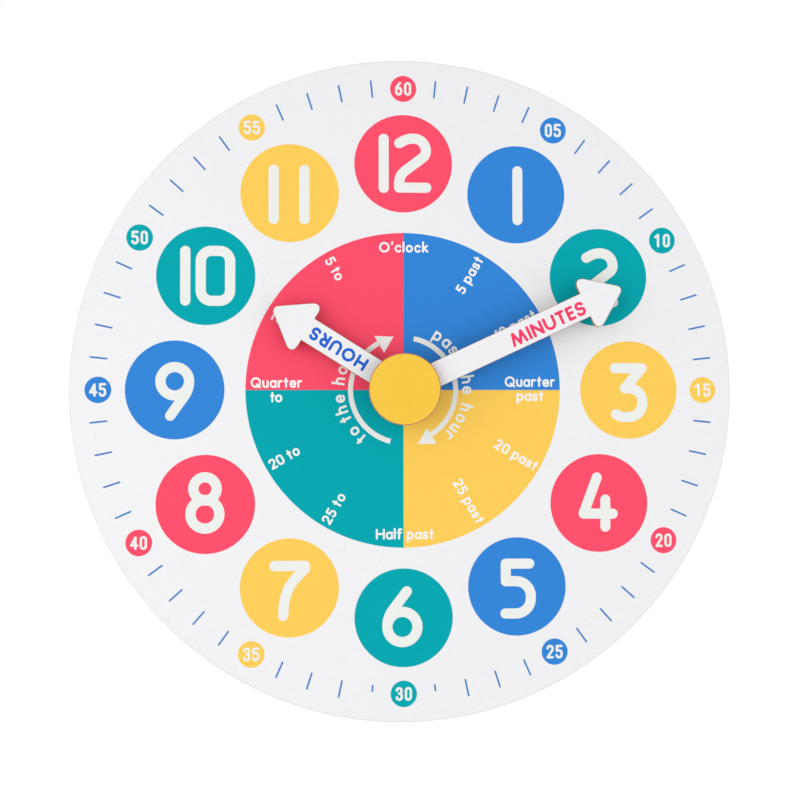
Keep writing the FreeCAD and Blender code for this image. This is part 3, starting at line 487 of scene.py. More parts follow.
class Paint:
    """Every finish of the clock, each made into a material once."""

    WHITE_LACQUER = Finish(
        "white_lacquer", (241, 241, 243), 0.55, 0.06, (1.1, 1.1, 1.1), 0.985, 0.004, specular=0.15)
    CAP_LACQUER = Finish(
        "cap_lacquer", (248, 201, 66), 0.5, 0.06, (1.1, 1.1, 1.1), 0.985, 0.004, specular=0.15)
    SEALED_EDGE = Finish("sealed_edge", (226, 223, 218), 0.6, 0.08, (0.5, 2.0, 0.5), 0.95, 0.01)
    RAW_BOARD = FibreBoard("raw_board", (198, 164, 122), 0.82, 0.08, shade=0.95, relief=0.02)
    SCORCHED = ScorchedEdge("scorched_edge", (196, 142, 112), 0.8, 0.1, relief=0.02)
    RED_INK = Ink("red_ink", (255, 77, 107))
    BLUE_INK = Ink("blue_ink", (46, 133, 217))
    TEAL_INK = Ink("teal_ink", (0, 168, 178), specular=0.05)
    YELLOW_INK = Ink("yellow_ink", (254, 207, 88))
    TICK_INK = Ink("tick_ink", (59, 127, 202), grain=(0.7, 0.7, 0.7), shade=0.96)
    WHITE_INK = Ink("white_ink", (246, 246, 246), grain=(0.7, 0.7, 0.7), shade=0.98, relief=0.004)
    HOURS_INK = Ink("hours_ink", (28, 98, 214), grain=(0.7, 0.7, 0.7), shade=0.96, relief=0.004)
    MINUTES_INK = Ink("minutes_ink", (252, 58, 106), grain=(0.7, 0.7, 0.7), shade=0.96, relief=0.004)
    LUMINOUS_INK = GlowInk(
        "luminous_ink", (240, 241, 239), 0.7, 0.08, (0.35, 0.35, 0.35), 0.965, 0.012, specular=0.15)

    # Each is named as its slot in the pack. After the colour come its roughness and how far
    # that varies, the grain, its shade and relief, and whether it is metal.
    PACKED = (
        Finish("black_plastic", (30, 30, 32), 0.5, 0.1, (0.28, 0.28, 0.28), 0.8, 0.02),
        Finish("white_plastic", (232, 230, 222), 0.4, 0.06, (0.8, 0.8, 0.8), 0.97, 0.006),
        Finish("amber_plastic", (214, 168, 92), 0.38, 0.06, (0.8, 0.8, 0.8), 0.95, 0.006),
        Finish("green_plastic", (70, 136, 96), 0.42, 0.06, (0.6, 0.6, 0.6), 0.93, 0.008),
        FibreBoard("board_resin", (24, 96, 62), 0.38, 0.06, shade=0.88, relief=0.004,
                   fibre=(46, 128, 84), fibre_length=1.4, fibre_width=0.2, patch=4.0),
        Finish("black_resin", (18, 18, 20), 0.22, 0.06, (0.9, 0.9, 0.9), 0.85, 0.01),
        Finish("steel", (188, 190, 192), 0.4, 0.08, (3.0, 0.09, 0.09), 0.86, 0.006, 1.0),
        Finish("brass", (206, 170, 96), 0.28, 0.07, (0.12, 0.8, 0.12), 0.9, 0.006, 1.0),
        # the copper's groove colour is painted shade between the turns of wire
        WoundFinish("copper", (198, 110, 58), 0.3, 0.06, (0.3, 0.3, 0.3), 0.9, 0.05, 1.0,
                    pitch=0.25, groove=(96, 42, 20)),
        Finish("magnet", (92, 92, 96), 0.45, 0.1, (0.2, 0.2, 0.2), 0.8, 0.012, 0.8),
        Finish("rubber", (34, 34, 35), 0.82, 0.08, (0.25, 0.25, 0.25), 0.8, 0.02),
        Finish("white_foam", (236, 235, 230), 0.9, 0.06, (0.3, 0.3, 0.3), 0.9, 0.06),
        Finish("cell_metal", (204, 204, 206), 0.26, 0.07, (0.1, 0.8, 0.1), 0.92, 0.004, 1.0),
        CellSleeve("cell_sleeve", (58, 122, 104), 0.24, 0.05, (2.0, 2.0, 2.0), 0.96, 0.004),
    )
    BY_SLOT = {finish.name: finish for finish in PACKED}

    def __init__(self) -> None:
        """Starts with no material made."""
        self.made: dict[str, bpy.types.Material] = {}

    def __call__(self, finish: Finish) -> bpy.types.Material:
        """Gives the material of a finish, and makes it the first time.

        Args:
            finish: One of this class's finishes.

        Returns:
            Its material.
        """
        if finish.name not in self.made:
            self.made[finish.name] = finish.make()
        return self.made[finish.name]


# ---- meshes --------------------------------------------------------------------------


def turned(angle: float) -> Matrix:
    """Makes the turn of an angle in degrees clockwise, as a clock's hand goes."""
    return Matrix.Rotation(math.radians(-angle), 4, "Z")


def moved(x: float, y: float) -> Matrix:
    """Makes a move in the dial's plane."""
    return Matrix.Translation((x, y, 0.0))


def on_dial(radius: float, angle: float) -> Vector:
    """Finds a point of the dial.

    Args:
        radius: Its distance from the centre.
        angle: Its direction, in degrees clockwise from twelve.

    Returns:
        The point, at height zero.
    """
    return turned(angle) @ Vector((0.0, radius, 0.0))


@dataclass
class Stock:
    """A mesh in the making, lying on its back, in millimetres."""

    low: float = 0.0
    high: float = 1.0

    def __post_init__(self) -> None:
        """Starts with an empty mesh."""
        self.mesh = bmesh.new()

    def disc(self, radius: float, segments: int, centre: Vector) -> None:
        """Lays a flat disc at the low height.

        Args:
            radius: The disc's radius.
            segments: How many sides its edge has.
            centre: Its centre, at height zero.
        """
        bmesh.ops.create_circle(
            self.mesh, cap_ends=True, segments=segments, radius=radius,
            matrix=Matrix.Translation(centre + Vector((0.0, 0.0, self.low))),
        )

    def raise_all(self) -> None:
        """Gives every flat face its thickness, from the low height to the high one."""
        bmesh.ops.remove_doubles(self.mesh, verts=self.mesh.verts, dist=WELD)
        grown = bmesh.ops.extrude_face_region(self.mesh, geom=self.mesh.faces[:])
        tops = [item for item in grown["geom"] if isinstance(item, bmesh.types.BMVert)]
        bmesh.ops.translate(self.mesh, verts=tops, vec=(0.0, 0.0, self.high - self.low))

    def finish(
        self, name: str, body: str, materials: Sequence[bpy.types.Material],
        place: Matrix | None = None,
    ) -> bpy.types.Object:
        """Makes the piece: welds it, turns its faces outwards and stands it up.

        Args:
            name: The piece's name.
            body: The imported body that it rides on.
            materials: What its faces' material numbers stand for.
            place: A last turn or move in the dial's plane.

        Returns:
            The piece.
        """
        bmesh.ops.remove_doubles(self.mesh, verts=self.mesh.verts, dist=WELD)
        bmesh.ops.recalc_face_normals(self.mesh, faces=self.mesh.faces)
        upright = STAND_UP @ (place or Matrix.Identity(4))
        bmesh.ops.transform(self.mesh, matrix=upright, verts=self.mesh.verts)
        for face in self.mesh.faces:
            face.smooth = True
        data = bpy.data.meshes.new(name)
        self.mesh.to_mesh(data)
        self.mesh.free()
        data.set_sharp_from_angle(angle=SMOOTH_LIMIT)
        for material in materials:
            data.materials.append(material)
        piece = add_object(name, data)
        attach(piece, body)
        log.info("%s rides on %s, %d faces", name, body, len(data.polygons))
        return piece

    def printed(self, name: str, body: str, ink: bpy.types.Material) -> bpy.types.Object:
        """Makes a piece of flat ink.

        Args:
            name: The piece's name.
            body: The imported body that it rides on.
            ink: Its material.

        Returns:
            The piece.
        """
        self.raise_all()
        return self.finish(name, body, [ink])


# ---- lettering -----------------------------------------------------------------------


@dataclass(frozen=True)
class Run:
    """One movement of the pen. At a corner with no radius it turns on the spot."""

    corners: tuple[Corner, ...]
    closed: bool = False


@dataclass(frozen=True)
class Glyph:
    """A letter or digit: its width on the pen's centre line, and its runs."""

    width: float
    runs: tuple[Run, ...]


def run(*corners: Corner) -> Run:
    """Makes an open run."""
    return Run(corners)


def loop(left: float, low: float, right: float, high: float, radius: float) -> Run:
    """Makes a closed run round a box with rounded corners."""
    box = ((left, low), (right, low), (right, high), (left, high))
    return Run(tuple((x, y, radius) for x, y in box), closed=True)


def ring(x: float, y: float, radius: float) -> Run:
    """Makes a closed round run about a centre."""
    return loop(x - radius, y - radius, x + radius, y + radius, radius)


# The large numerals, drawn in millimetres about the middle of their circle.
HOUR_DIGITS = {
    "0": Glyph(13.2, (loop(-6.6, -11.3, 6.6, 11.3, 4.8),)),
    "1": Glyph(0.0, (run((0, 11.2), (0, -11.2)),)),
    "2": Glyph(13.2, (
        run((-6.0, 9.3), (-2.2, 11.4, 9.0), (6.15, 11.4, 5.6), (6.15, 3.8, 4.0),
            (-6.1, -5.4, 7.0), (-6.1, -11.0), (6.3, -11.0)),)),
    "3": Glyph(12.6, (
        run((-6.3, 10.0), (6.2, 10.0), (-1.7, 0.8), (6.4, 0.8, 6.2),
            (6.4, -12.3, 6.2), (-3.2, -12.3, 3.5), (-5.8, -11.1)),)),
    "4": Glyph(13.4, (
        run((-1.0, 11.6), (-7.1, -4.8), (6.3, -4.9)), run((2.9, 1.5), (2.9, -10.8)))),
    "5": Glyph(11.6, (
        run((5.6, 10.3), (-5.1, 10.3), (-5.1, 2.4), (6.3, 2.4, 6.8), (6.3, -12.3, 6.8),
            (-5.3, -12.2)),)),
    "6": Glyph(13.6, (ring(-0.6, -4.1, 6.8), run((-7.4, -4.1), (-7.4, 0.3, 12.0), (1.4, 11.9)))),
    "7": Glyph(13.7, (
        run((-6.1, 9.1), (7.6, 9.1), (7.6, 7.8), (-1.5, -1.4, 21.0), (-2.2, -13.3)),)),
    "8": Glyph(13.2, (ring(-0.2, 7.0, 5.2), ring(-0.2, -4.4, 6.45))),
    "9": Glyph(12.8, (ring(0, 3.9, 6.4), run((6.4, 3.9), (6.4, 0.2, 12.0), (-2.0, -11.6)))),
}

# The small numerals of the minute ring, drawn in millimetres about their own middle.
MINUTE_DIGITS = {
    "0": Glyph(2.2, (loop(-1.1, -2.55, 1.1, 2.55, 1.1),)),
    "1": Glyph(1.25, (run((-1.0, 1.55), (0.25, 2.55), (0.25, -2.55)),)),
    "2": Glyph(2.3, (
        run((-1.15, 1.5), (-1.1, 2.55, 1.0), (1.1, 2.55, 1.05), (1.1, 0.9, 0.9),
            (-1.15, -2.55), (1.15, -2.55)),)),
    "3": Glyph(2.2, (
        run((-1.1, 1.5), (-1.1, 2.55, 0.95), (1.0, 2.55, 0.95), (1.0, 0.15, 0.95), (-0.1, 0.15)),
        run((-0.1, 0.15), (1.1, 0.15, 1.05), (1.1, -2.55, 1.05), (-1.1, -2.55, 1.0), (-1.1, -1.5)))),
    "4": Glyph(2.65, (run((0.55, -2.55), (0.55, 2.4), (-1.3, -1.1), (1.35, -1.1)),)),
    "5": Glyph(2.25, (
        run((1.1, 2.55), (-1.0, 2.55), (-1.05, 0.4), (1.1, 0.75, 1.1), (1.1, -2.55, 1.1),
            (-1.15, -2.55, 1.0), (-1.15, -1.6)),)),
    "6": Glyph(2.2, (loop(-1.1, -2.55, 1.1, 0.4, 1.1), run((-1.1, -0.9), (-1.1, 0.6, 1.2), (0.6, 2.7)))),
}

# The words, drawn with capitals one unit high on the pen's centre line.
LETTERS = {
    "H": Glyph(0.82, (run((0, 0), (0, 1)), run((0.82, 0), (0.82, 1)), run((0, 0.52), (0.82, 0.52)))),
    "O": Glyph(1.0, (loop(0, 0, 1.0, 1, 0.5),)),
    "U": Glyph(0.82, (run((0, 1), (0, 0, 0.41), (0.82, 0, 0.41), (0.82, 1)),)),
    "R": Glyph(0.62, (
        run((0, 0), (0, 1)), run((0, 1), (0.6, 1, 0.26), (0.6, 0.46, 0.26), (0, 0.46)),
        run((0.25, 0.46), (0.62, 0)))),
    "S": Glyph(0.6, (
        run((0.58, 0.85), (0.45, 1, 0.2), (0.03, 1, 0.25), (0.03, 0.55, 0.2), (0.6, 0.47, 0.2),
            (0.6, 0, 0.25), (0.1, 0, 0.2), (0, 0.14)),)),
    "M": Glyph(1.2, (run((0, 0), (0.22, 1), (0.6, 0), (0.98, 1), (1.2, 0)),)),
    "I": Glyph(0.0, (run((0, 0), (0, 1)),)),
    "N": Glyph(0.79, (run((0, 0), (0, 1), (0.79, 0), (0.79, 1)),)),
    "T": Glyph(0.57, (run((0, 1), (0.57, 1)), run((0.285, 1), (0.285, 0)))),
    "E": Glyph(0.45, (run((0.45, 1), (0, 1), (0, 0), (0.45, 0)), run((0, 0.52), (0.4, 0.52)))),
    "Q": Glyph(0.98, (loop(0, 0, 0.95, 1, 0.475), run((0.58, 0.28), (0.98, -0.06)))),
    "'": Glyph(0.05, (run((0.05, 1.08), (0, 0.88)),)),
    "a": Glyph(0.58, (loop(0, 0, 0.58, 0.68, 0.29), run((0.58, 0.68), (0.58, 0)))),
    "c": Glyph(0.53, (
        run((0.53, 0.56), (0.4, 0.68, 0.18), (0, 0.68, 0.31), (0, 0, 0.31),
            (0.4, 0, 0.18), (0.53, 0.12)),)),
    "e": Glyph(0.56, (
        run((0.02, 0.34), (0.56, 0.34), (0.56, 0.68, 0.28), (0, 0.68, 0.28), (0, 0, 0.28),
            (0.42, 0, 0.2), (0.53, 0.1)),)),
    "f": Glyph(0.42, (
        run((0.42, 1.02), (0.3, 1.08, 0.1), (0.16, 1.08, 0.14), (0.16, 0)), run((0, 0.66), (0.36, 0.66)))),
    "h": Glyph(0.51, (
        run((0, 0), (0, 1.08)), run((0, 0.36), (0, 0.68, 0.25), (0.51, 0.68, 0.25), (0.51, 0)))),
    "k": Glyph(0.5, (run((0, 0), (0, 1.08)), run((0, 0.3), (0.45, 0.68)), run((0.14, 0.4), (0.5, 0)))),
    "l": Glyph(0.0, (run((0, 0), (0, 1.08)),)),
    "o": Glyph(0.59, (loop(0, 0, 0.59, 0.68, 0.295),)),
    "p": Glyph(0.58, (loop(0, 0, 0.58, 0.68, 0.29), run((0, 0.68), (0, -0.34)))),
    "r": Glyph(0.34, (run((0, 0), (0, 0.68)), run((0, 0.4), (0.05, 0.68, 0.24), (0.34, 0.66)))),
    "s": Glyph(0.42, (
        run((0.4, 0.58), (0.31, 0.68, 0.1), (0, 0.68, 0.17), (0, 0.36, 0.15), (0.42, 0.33, 0.15),
            (0.42, 0, 0.17), (0.08, 0, 0.1), (-0.02, 0.1)),)),
    "t": Glyph(0.32, (run((0.15, 0.95), (0.15, 0)), run((0, 0.66), (0.32, 0.66)))),
    "u": Glyph(0.51, (
        run((0, 0.68), (0, 0, 0.25), (0.51, 0, 0.25), (0.51, 0.68)), run((0.51, 0.68), (0.51, 0)))),
    "0": Glyph(0.62, (loop(0, 0, 0.62, 1, 0.31),)),
    "1": Glyph(0.2, (run((0, 0.84), (0.2, 1), (0.2, 0)),)),
    "2": Glyph(0.58, (
        run((0.02, 0.82), (0.06, 1, 0.18), (0.56, 1, 0.27), (0.56, 0.62, 0.25), (0, 0), (0.58, 0)),)),
    "5": Glyph(0.56, (
        run((0.52, 1), (0.08, 1), (0.04, 0.56), (0.56, 0.62, 0.28), (0.56, 0, 0.28),
            (0.06, 0, 0.18), (0, 0.12)),)),
}


@dataclass(frozen=True)
class Bend:
    """A corner that the pen sweeps round: where its arc starts and ends, and how it turns."""

    start: Vector
    end: Vector
    centre: Vector
    turn: float


def bend_at(before: Vector, corner: Vector, after: Vector, reach: float) -> Bend:
    """Rounds a corner.

    Args:
        before: The point that the pen comes from.
        corner: The corner itself.
        after: The point that the pen goes to.
        reach: How far from the corner the arc starts.

    Returns:
        The arc that touches both straights.
    """
    coming = (corner - before).normalized()
    going = (after - corner).normalized()
    turn = math.atan2(coming.cross(going).z, coming.dot(going))
    radius = reach / math.tan(abs(turn) / 2.0)
    start = corner - coming * reach
    inward = Vector((-coming.y, coming.x, 0.0)) * math.copysign(1.0, turn)
    return Bend(start, corner + going * reach, start + inward * radius, turn)


def bends_of(points: list[Vector], radii: list[float], closed: bool) -> list[Bend]:
    """Rounds every corner of a run, and makes an arc smaller where two would overlap.

    Args:
        points: The run's corners.
        radii: The radius at each corner.
        closed: Whether it comes back to its start.

    Returns:
        The arcs in their order. An open run has none at its two ends.
    """
    count = len(points)
    rounded = range(count) if closed else range(1, count - 1)
    reaches = dict.fromkeys(range(count), 0.0)
    for index in rounded:
        coming = points[index] - points[index - 1]
        going = points[(index + 1) % count] - points[index]
        turn = abs(math.atan2(coming.cross(going).z, coming.dot(going)))
        reaches[index] = radii[index] * math.tan(turn / 2.0)
    eased = dict(reaches)
    for index in range(count if closed else count - 1):
        after = (index + 1) % count
        length = (points[after] - points[index]).length
        wanted = reaches[index] + reaches[after]
        if wanted > length:
            for end in (index, after):
                eased[end] = min(eased[end], reaches[end] * length / wanted)
    return [
        bend_at(points[index - 1], points[index], points[(index + 1) % count], eased[index])
        for index in rounded
    ]


@dataclass
class Pen(Stock):
    """A round-nosed pen that lays ink of one width and thickness."""

    width: float = 1.0
    round_ends: bool = True

    def __post_init__(self) -> None:
        """Starts with an empty mesh, and an empty sheet for the stroke that is being drawn."""
        super().__post_init__()
        self.sheet = bmesh.new()

    @classmethod
    def over_print(cls, face: float, proud: float, width: float, round_ends: bool = True) -> "Pen":
        """Takes up a pen for ink that lies on the dial's coloured print.

        Args:
            face: The height of the board under the print.
            proud: How far the ink stands above the board.
            width: The pen's width.
            round_ends: Whether its strokes have round ends.

        Returns:
            The pen, whose ink starts inside the print.
        """
        return cls(face + proud * INK_BEDDING, face + proud, width, round_ends)

    def keep_stroke(self) -> None:
        """Adds the stroke that has just been drawn to the mesh."""
        drawn = bpy.data.meshes.new("stroke")
        self.sheet.to_mesh(drawn)
        self.mesh.from_mesh(drawn)
        bpy.data.meshes.remove(drawn)
        self.sheet.clear()

    def nib(self, point: Vector, heading: Vector) -> list[bmesh.types.BMEdge]:
        """Sets the pen down across its heading.

        Args:
            point: Where the middle of the pen stands.
            heading: The way that it will go.

        Returns:
            The two edges of the nib, from its left end over the middle to its right end.
        """
        across = Vector((-heading.y, heading.x, 0.0)) * (self.width / 2.0)
        corners = [self.sheet.verts.new(spot) for spot in (point + across, point, point - across)]
        return [self.sheet.edges.new(pair) for pair in zip(corners, corners[1:])]

    def straight(self, nib: list[bmesh.types.BMEdge], path: Vector) -> list[bmesh.types.BMEdge]:
        """Draws the nib along a straight line.

        Args:
            nib: The nib's edges.
            path: How far it goes, and which way.

        Returns:
            The nib's edges where it ends.
        """
        if path.length < WELD:
            return nib
        grown = bmesh.ops.extrude_edge_only(self.sheet, edges=nib)["geom"]
        corners = {item for item in grown if isinstance(item, bmesh.types.BMVert)}
        bmesh.ops.translate(self.sheet, verts=list(corners), vec=path)
        edges = [item for item in grown if isinstance(item, bmesh.types.BMEdge)]
        return [edge for edge in edges if set(edge.verts) <= corners]

    def sweep(
        self, nib: list[bmesh.types.BMEdge], centre: Vector, turn: float
    ) -> list[bmesh.types.BMEdge]:
        """Draws the nib round an arc.

        Args:
            nib: The nib's edges.
            centre: The arc's centre.
            turn: How far it turns, in radians anticlockwise.

        Returns:
            The nib's edges where it ends.
        """
        corners = list({corner for edge in nib for corner in edge.verts})
        reach = max((corner.co - centre).length for corner in corners)
        step = 2.0 * math.acos(1.0 - CHORD_GAP / reach)
        steps = max(2, math.ceil(abs(turn) / step))
        spun = bmesh.ops.spin(
            self.sheet, geom=corners + nib, cent=centre, axis=(0.0, 0.0, 1.0), angle=turn,
            steps=steps, use_merge=False, use_duplicate=False,
        )
        return [item for item in spun["geom_last"] if isinstance(item, bmesh.types.BMEdge)]

    def stroke(self, points: list[Vector], radii: list[float], closed: bool) -> None:
        """Draws one run that has no corner to turn on.

        Args:
            points: The run's corners.
            radii: The radius at each corner.
            closed: Whether it comes back to its start.
        """
        bends = bends_of(points, radii, closed)
        here = bends[-1].end if closed else points[0]
        first = points[0] if closed else points[1]
        heading = (first - (points[-1] if closed else here)).normalized()
        nib = self.nib(here, heading)
        if not closed:
            self.cap(here, heading * -1.0)
        for bend in bends:
            nib = self.straight(nib, bend.start - here)
            nib = self.sweep(nib, bend.centre, bend.turn)
            here = bend.end
        if not closed:
            self.straight(nib, points[-1] - here)
            self.cap(points[-1], (points[-1] - points[-2]).normalized())
        self.keep_stroke()

    def cap(self, point: Vector, heading: Vector) -> None:
        """Rounds off the end of a stroke.

        Args:
            point: The end of its centre line.
            heading: The way that leads out of the stroke.
        """
        if not self.round_ends:
            return
        across = Vector((heading.y, -heading.x, 0.0)) * (self.width / 2.0)
        corners = [self.sheet.verts.new(point), self.sheet.verts.new(point + across)]
        self.sweep([self.sheet.edges.new(corners)], point, math.pi)

    def draw(self, what: Run, place: Matrix, scale: float = 1.0, level: int = 0) -> None:
        """Draws a run, and lifts the pen at each corner that has no radius.

        Args:
            what: The run.
            place: Where the run's own origin goes, and how it is turned.
            scale: The size of the run's unit, in millimetres.
            level: How many strokes of the same letter lie under it.
        """
        height = self.low + level * RUN_STEP
        points = [
            place @ Vector((corner[0] * scale, corner[1] * scale, height)) for corner in what.corners
        ]
        radii = [corner[2] * scale if len(corner) > 2 else 0.0 for corner in what.corners]
        if what.closed:
            self.stroke(points, radii, True)
            return
        start = 0
        for index in range(1, len(points)):
            if index == len(points) - 1 or radii[index] == 0.0:
                lift = Vector((0.0, 0.0, RUN_STEP)) * start
                part = [point + lift for point in points[start:index + 1]]
                self.stroke(part, radii[start:index + 1], False)
                start = index

    def glyph(self, what: Glyph, place: Matrix, scale: float = 1.0) -> None:
        """Draws a letter or digit.

        Args:
            what: The glyph.
            place: Where its origin goes, and how it is turned.
            scale: The size of its unit, in millimetres.
        """
        for order, part in enumerate(what.runs):
            self.draw(part, place, scale, order * RUN_LEVELS)

    def line(
        self, text: str, place: Matrix, scale: float, length: float, word_space: float = 1.6
    ) -> None:
        """Writes a line of words, and spaces its letters to fill a length.

        Args:
            text: The words.
            place: Where the middle of the line's foot goes, and how it is turned.
            scale: The height of a capital's centre line.
            length: From the outside of the first letter to the outside of the last.
            word_space: How much wider a gap between words is than one between letters.
        """
        widths = [LETTERS[letter].width * scale + self.width for letter in text if letter != " "]
        spaces = text.count(" ")
        gap = (length - sum(widths) - spaces * word_space) / (len(widths) - 1)
        at = -length / 2.0 + self.width / 2.0
        for letter in text:
            if letter == " ":
                at += word_space
                continue
            self.glyph(LETTERS[letter], place @ moved(at, 0.0), scale)
            at += LETTERS[letter].width * scale + self.width + gap


# ---- the dial ------------------------------------------------------------------------

HOURS = 12
MINUTES = 60
NUMBERED_MINUTE = 5  # every fifth minute has a circle and a number
HOUR_ANGLE = 360.0 / HOURS
MINUTE_ANGLE = 360.0 / MINUTES


class Side(Enum):
    """The faces of a cut board, by their place in its list of materials."""

    FRONT = 0
    EDGE = 1
    BACK = 2


@dataclass
class Board:
    """A flat piece cut from board: its outline rises from its back to a front inside it."""

    low: float
    high: float
    taper: float = 0.18  # how far the front's outline lies inside the back's
    roll: float = 0.05  # the width of the softened front edge

    def rise(self, stock: Stock) -> None:
        """Raises a flat outline into a board with a tapered edge.

        Args:
            stock: The mesh that holds the outline's faces, at the low height.
        """
        mesh = stock.mesh
        wall = self.high - self.low - self.roll
        bmesh.ops.recalc_face_normals(mesh, faces=mesh.faces)
        back = mesh.faces[:]
        grown = bmesh.ops.extrude_face_region(mesh, geom=back)["geom"]
        front = [item for item in grown if isinstance(item, bmesh.types.BMFace)]
        corners = [item for item in grown if isinstance(item, bmesh.types.BMVert)]
        bmesh.ops.translate(mesh, verts=corners, vec=(0.0, 0.0, wall))
        for face in mesh.faces:
            face.material_index = Side.EDGE.value
        for face in back:
            face.material_index = Side.BACK.value
        self.shrink(mesh, front)
        rim = bmesh.ops.inset_region(
            mesh, faces=front, thickness=self.roll, depth=self.roll,
            use_boundary=True, use_even_offset=True,
        )["faces"]
        for face in front + rim:
            face.material_index = Side.FRONT.value

    def shrink(self, mesh: bmesh.types.BMesh, front: list[bmesh.types.BMFace]) -> None:
        """Pulls the front's outline inwards by the taper, and keeps its height.

        Args:
            mesh: The board's mesh.
            front: The faces of its front.
        """
        bmesh.ops.inset_region(
            mesh, faces=front, thickness=self.taper, depth=0.0,
            use_boundary=True, use_even_offset=True,
        )


@dataclass
class DialBoard:
    """The round board that the numbers are printed on."""

    radius: float
    low: float
    high: float
    bore: float = 4.15  # round the threaded neck of the movement
    rounding: float = 0.35
    rounding_steps: int = 3
    segments: int = 256

    def build(self, paint: Paint) -> bpy.types.Object:
        """Turns the board about the dial's axis and softens its two rims.

        Args:
            paint: Where the materials come from.

        Returns:
            The board.
        """
        stock = Stock()
        reaches = (self.bore, self.radius, self.radius, self.bore)
        heights = (self.low, self.low, self.high, self.high)
        corners = [stock.mesh.verts.new((x, 0.0, z)) for x, z in zip(reaches, heights)]
        sides = [stock.mesh.edges.new((corners[i - 1], corners[i])) for i in range(len(corners))]
        bmesh.ops.spin(
            stock.mesh, geom=corners + sides, cent=(0.0, 0.0, 0.0), axis=(0.0, 0.0, 1.0),
            angle=math.tau, steps=self.segments, use_merge=True,
        )
        rims = [
            edge for edge in stock.mesh.edges
            if all(math.hypot(end.co.x, end.co.y) > self.radius - WELD for end in edge.verts)
            and abs(edge.verts[0].co.z - edge.verts[1].co.z) < WELD
        ]
        bmesh.ops.bevel(
            stock.mesh, geom=rims, affect="EDGES", offset=self.rounding, offset_type="OFFSET",
            segments=self.rounding_steps, profile=0.5, material=-1,
        )
        for face in stock.mesh.faces:
            middle = face.calc_center_median()
            if middle.z > self.high - WELD:
                face.material_index = Side.FRONT.value
            elif middle.z < self.low + WELD:
                face.material_index = Side.BACK.value
            else:
                face.material_index = Side.EDGE.value
        materials = [paint(Paint.WHITE_LACQUER), paint(Paint.SEALED_EDGE), paint(Paint.RAW_BOARD)]
        piece = stock.finish("dial_board", "clock", materials)
        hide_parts("dial_plate")
        return piece


class Hue(Enum):
    """The four printed colours, in their order round the dial from twelve."""

    RED = 0
    BLUE = 1
    TEAL = 2
    YELLOW = 3


@dataclass
class ColourPrint:
    """One printed colour: its circles in both rings and its quarter of the middle."""

    hue: Hue
    face: float  # the height of the board's front
    hour_ring: float = 103.0
    hour_circle: float = 22.255
    minute_ring: float = 137.24
    minute_circle: float = 5.95
    quarter_radius: float = 71.374
    quarter_sides: int = 256
    hour_sides: int = 96
    minute_sides: int = 48
    sunk: float = 0.01  # how far the ink starts inside the board
    proud: float = 0.02  # and how far it stands above it

    FINISHES = {
        Hue.RED: Paint.RED_INK,
        Hue.BLUE: Paint.BLUE_INK,
        Hue.TEAL: Paint.TEAL_INK,
        Hue.YELLOW: Paint.YELLOW_INK,
    }
    # The side of each quarter of the middle: right is 1 and left is -1, up is 1 and down is -1.
    QUARTERS = {Hue.RED: (-1, 1), Hue.BLUE: (1, 1), Hue.TEAL: (-1, -1), Hue.YELLOW: (1, -1)}

    def build(self, paint: Paint) -> bpy.types.Object:
        """Prints the colour's circles and quarter.

        Args:
            paint: Where the material comes from.

        Returns:
            The ink.
        """
        stock = Stock(self.face - self.sunk, self.face + self.proud)
        stock.disc(self.quarter_radius, self.quarter_sides, Vector((0.0, 0.0, 0.0)))
        right, up = self.QUARTERS[self.hue]
        for kept in ((right, 0.0, 0.0), (0.0, up, 0.0)):
            bmesh.ops.bisect_plane(
                stock.mesh, geom=stock.mesh.verts[:] + stock.mesh.edges[:] + stock.mesh.faces[:],
                dist=WELD, plane_co=(0.0, 0.0, 0.0), plane_no=kept, clear_inner=True,
            )
        for place in range(self.hue.value, HOURS, len(Hue)):
            angle = place * HOUR_ANGLE
            stock.disc(self.hour_circle, self.hour_sides, on_dial(self.hour_ring, angle))
            stock.disc(self.minute_circle, self.minute_sides, on_dial(self.minute_ring, angle))
        name = self.hue.name.lower() + "_print"
        return stock.printed(name, "clock", paint(self.FINISHES[self.hue]))


@dataclass
class MinuteTicks:
    """The fine lines of the minutes between the numbered circles."""

    face: float
    inner: float = 133.7
    outer: float = 141.8
    width: float = 0.78
    short_outer: float = 137.0  # the lines on both sides of the 30 are shorter
    short_minutes: tuple[int, ...] = (29, 31)
    proud: float = 0.02

    def build(self, paint: Paint) -> bpy.types.Object:
        """Prints a line at each minute that has no circle.

        Args:
            paint: Where the material comes from.

        Returns:
            The ink.
        """
        pen = Pen(self.face - self.proud, self.face + self.proud, self.width)
        nose = self.width / 2.0
        for minute in range(MINUTES):
            if minute % NUMBERED_MINUTE == 0:
                continue
            outer = self.short_outer if minute in self.short_minutes else self.outer
            tick = run((0.0, self.inner + nose), (0.0, outer - nose))
            pen.draw(tick, turned(minute * MINUTE_ANGLE))
        return pen.printed("minute_ticks", "clock", paint(Paint.TICK_INK))


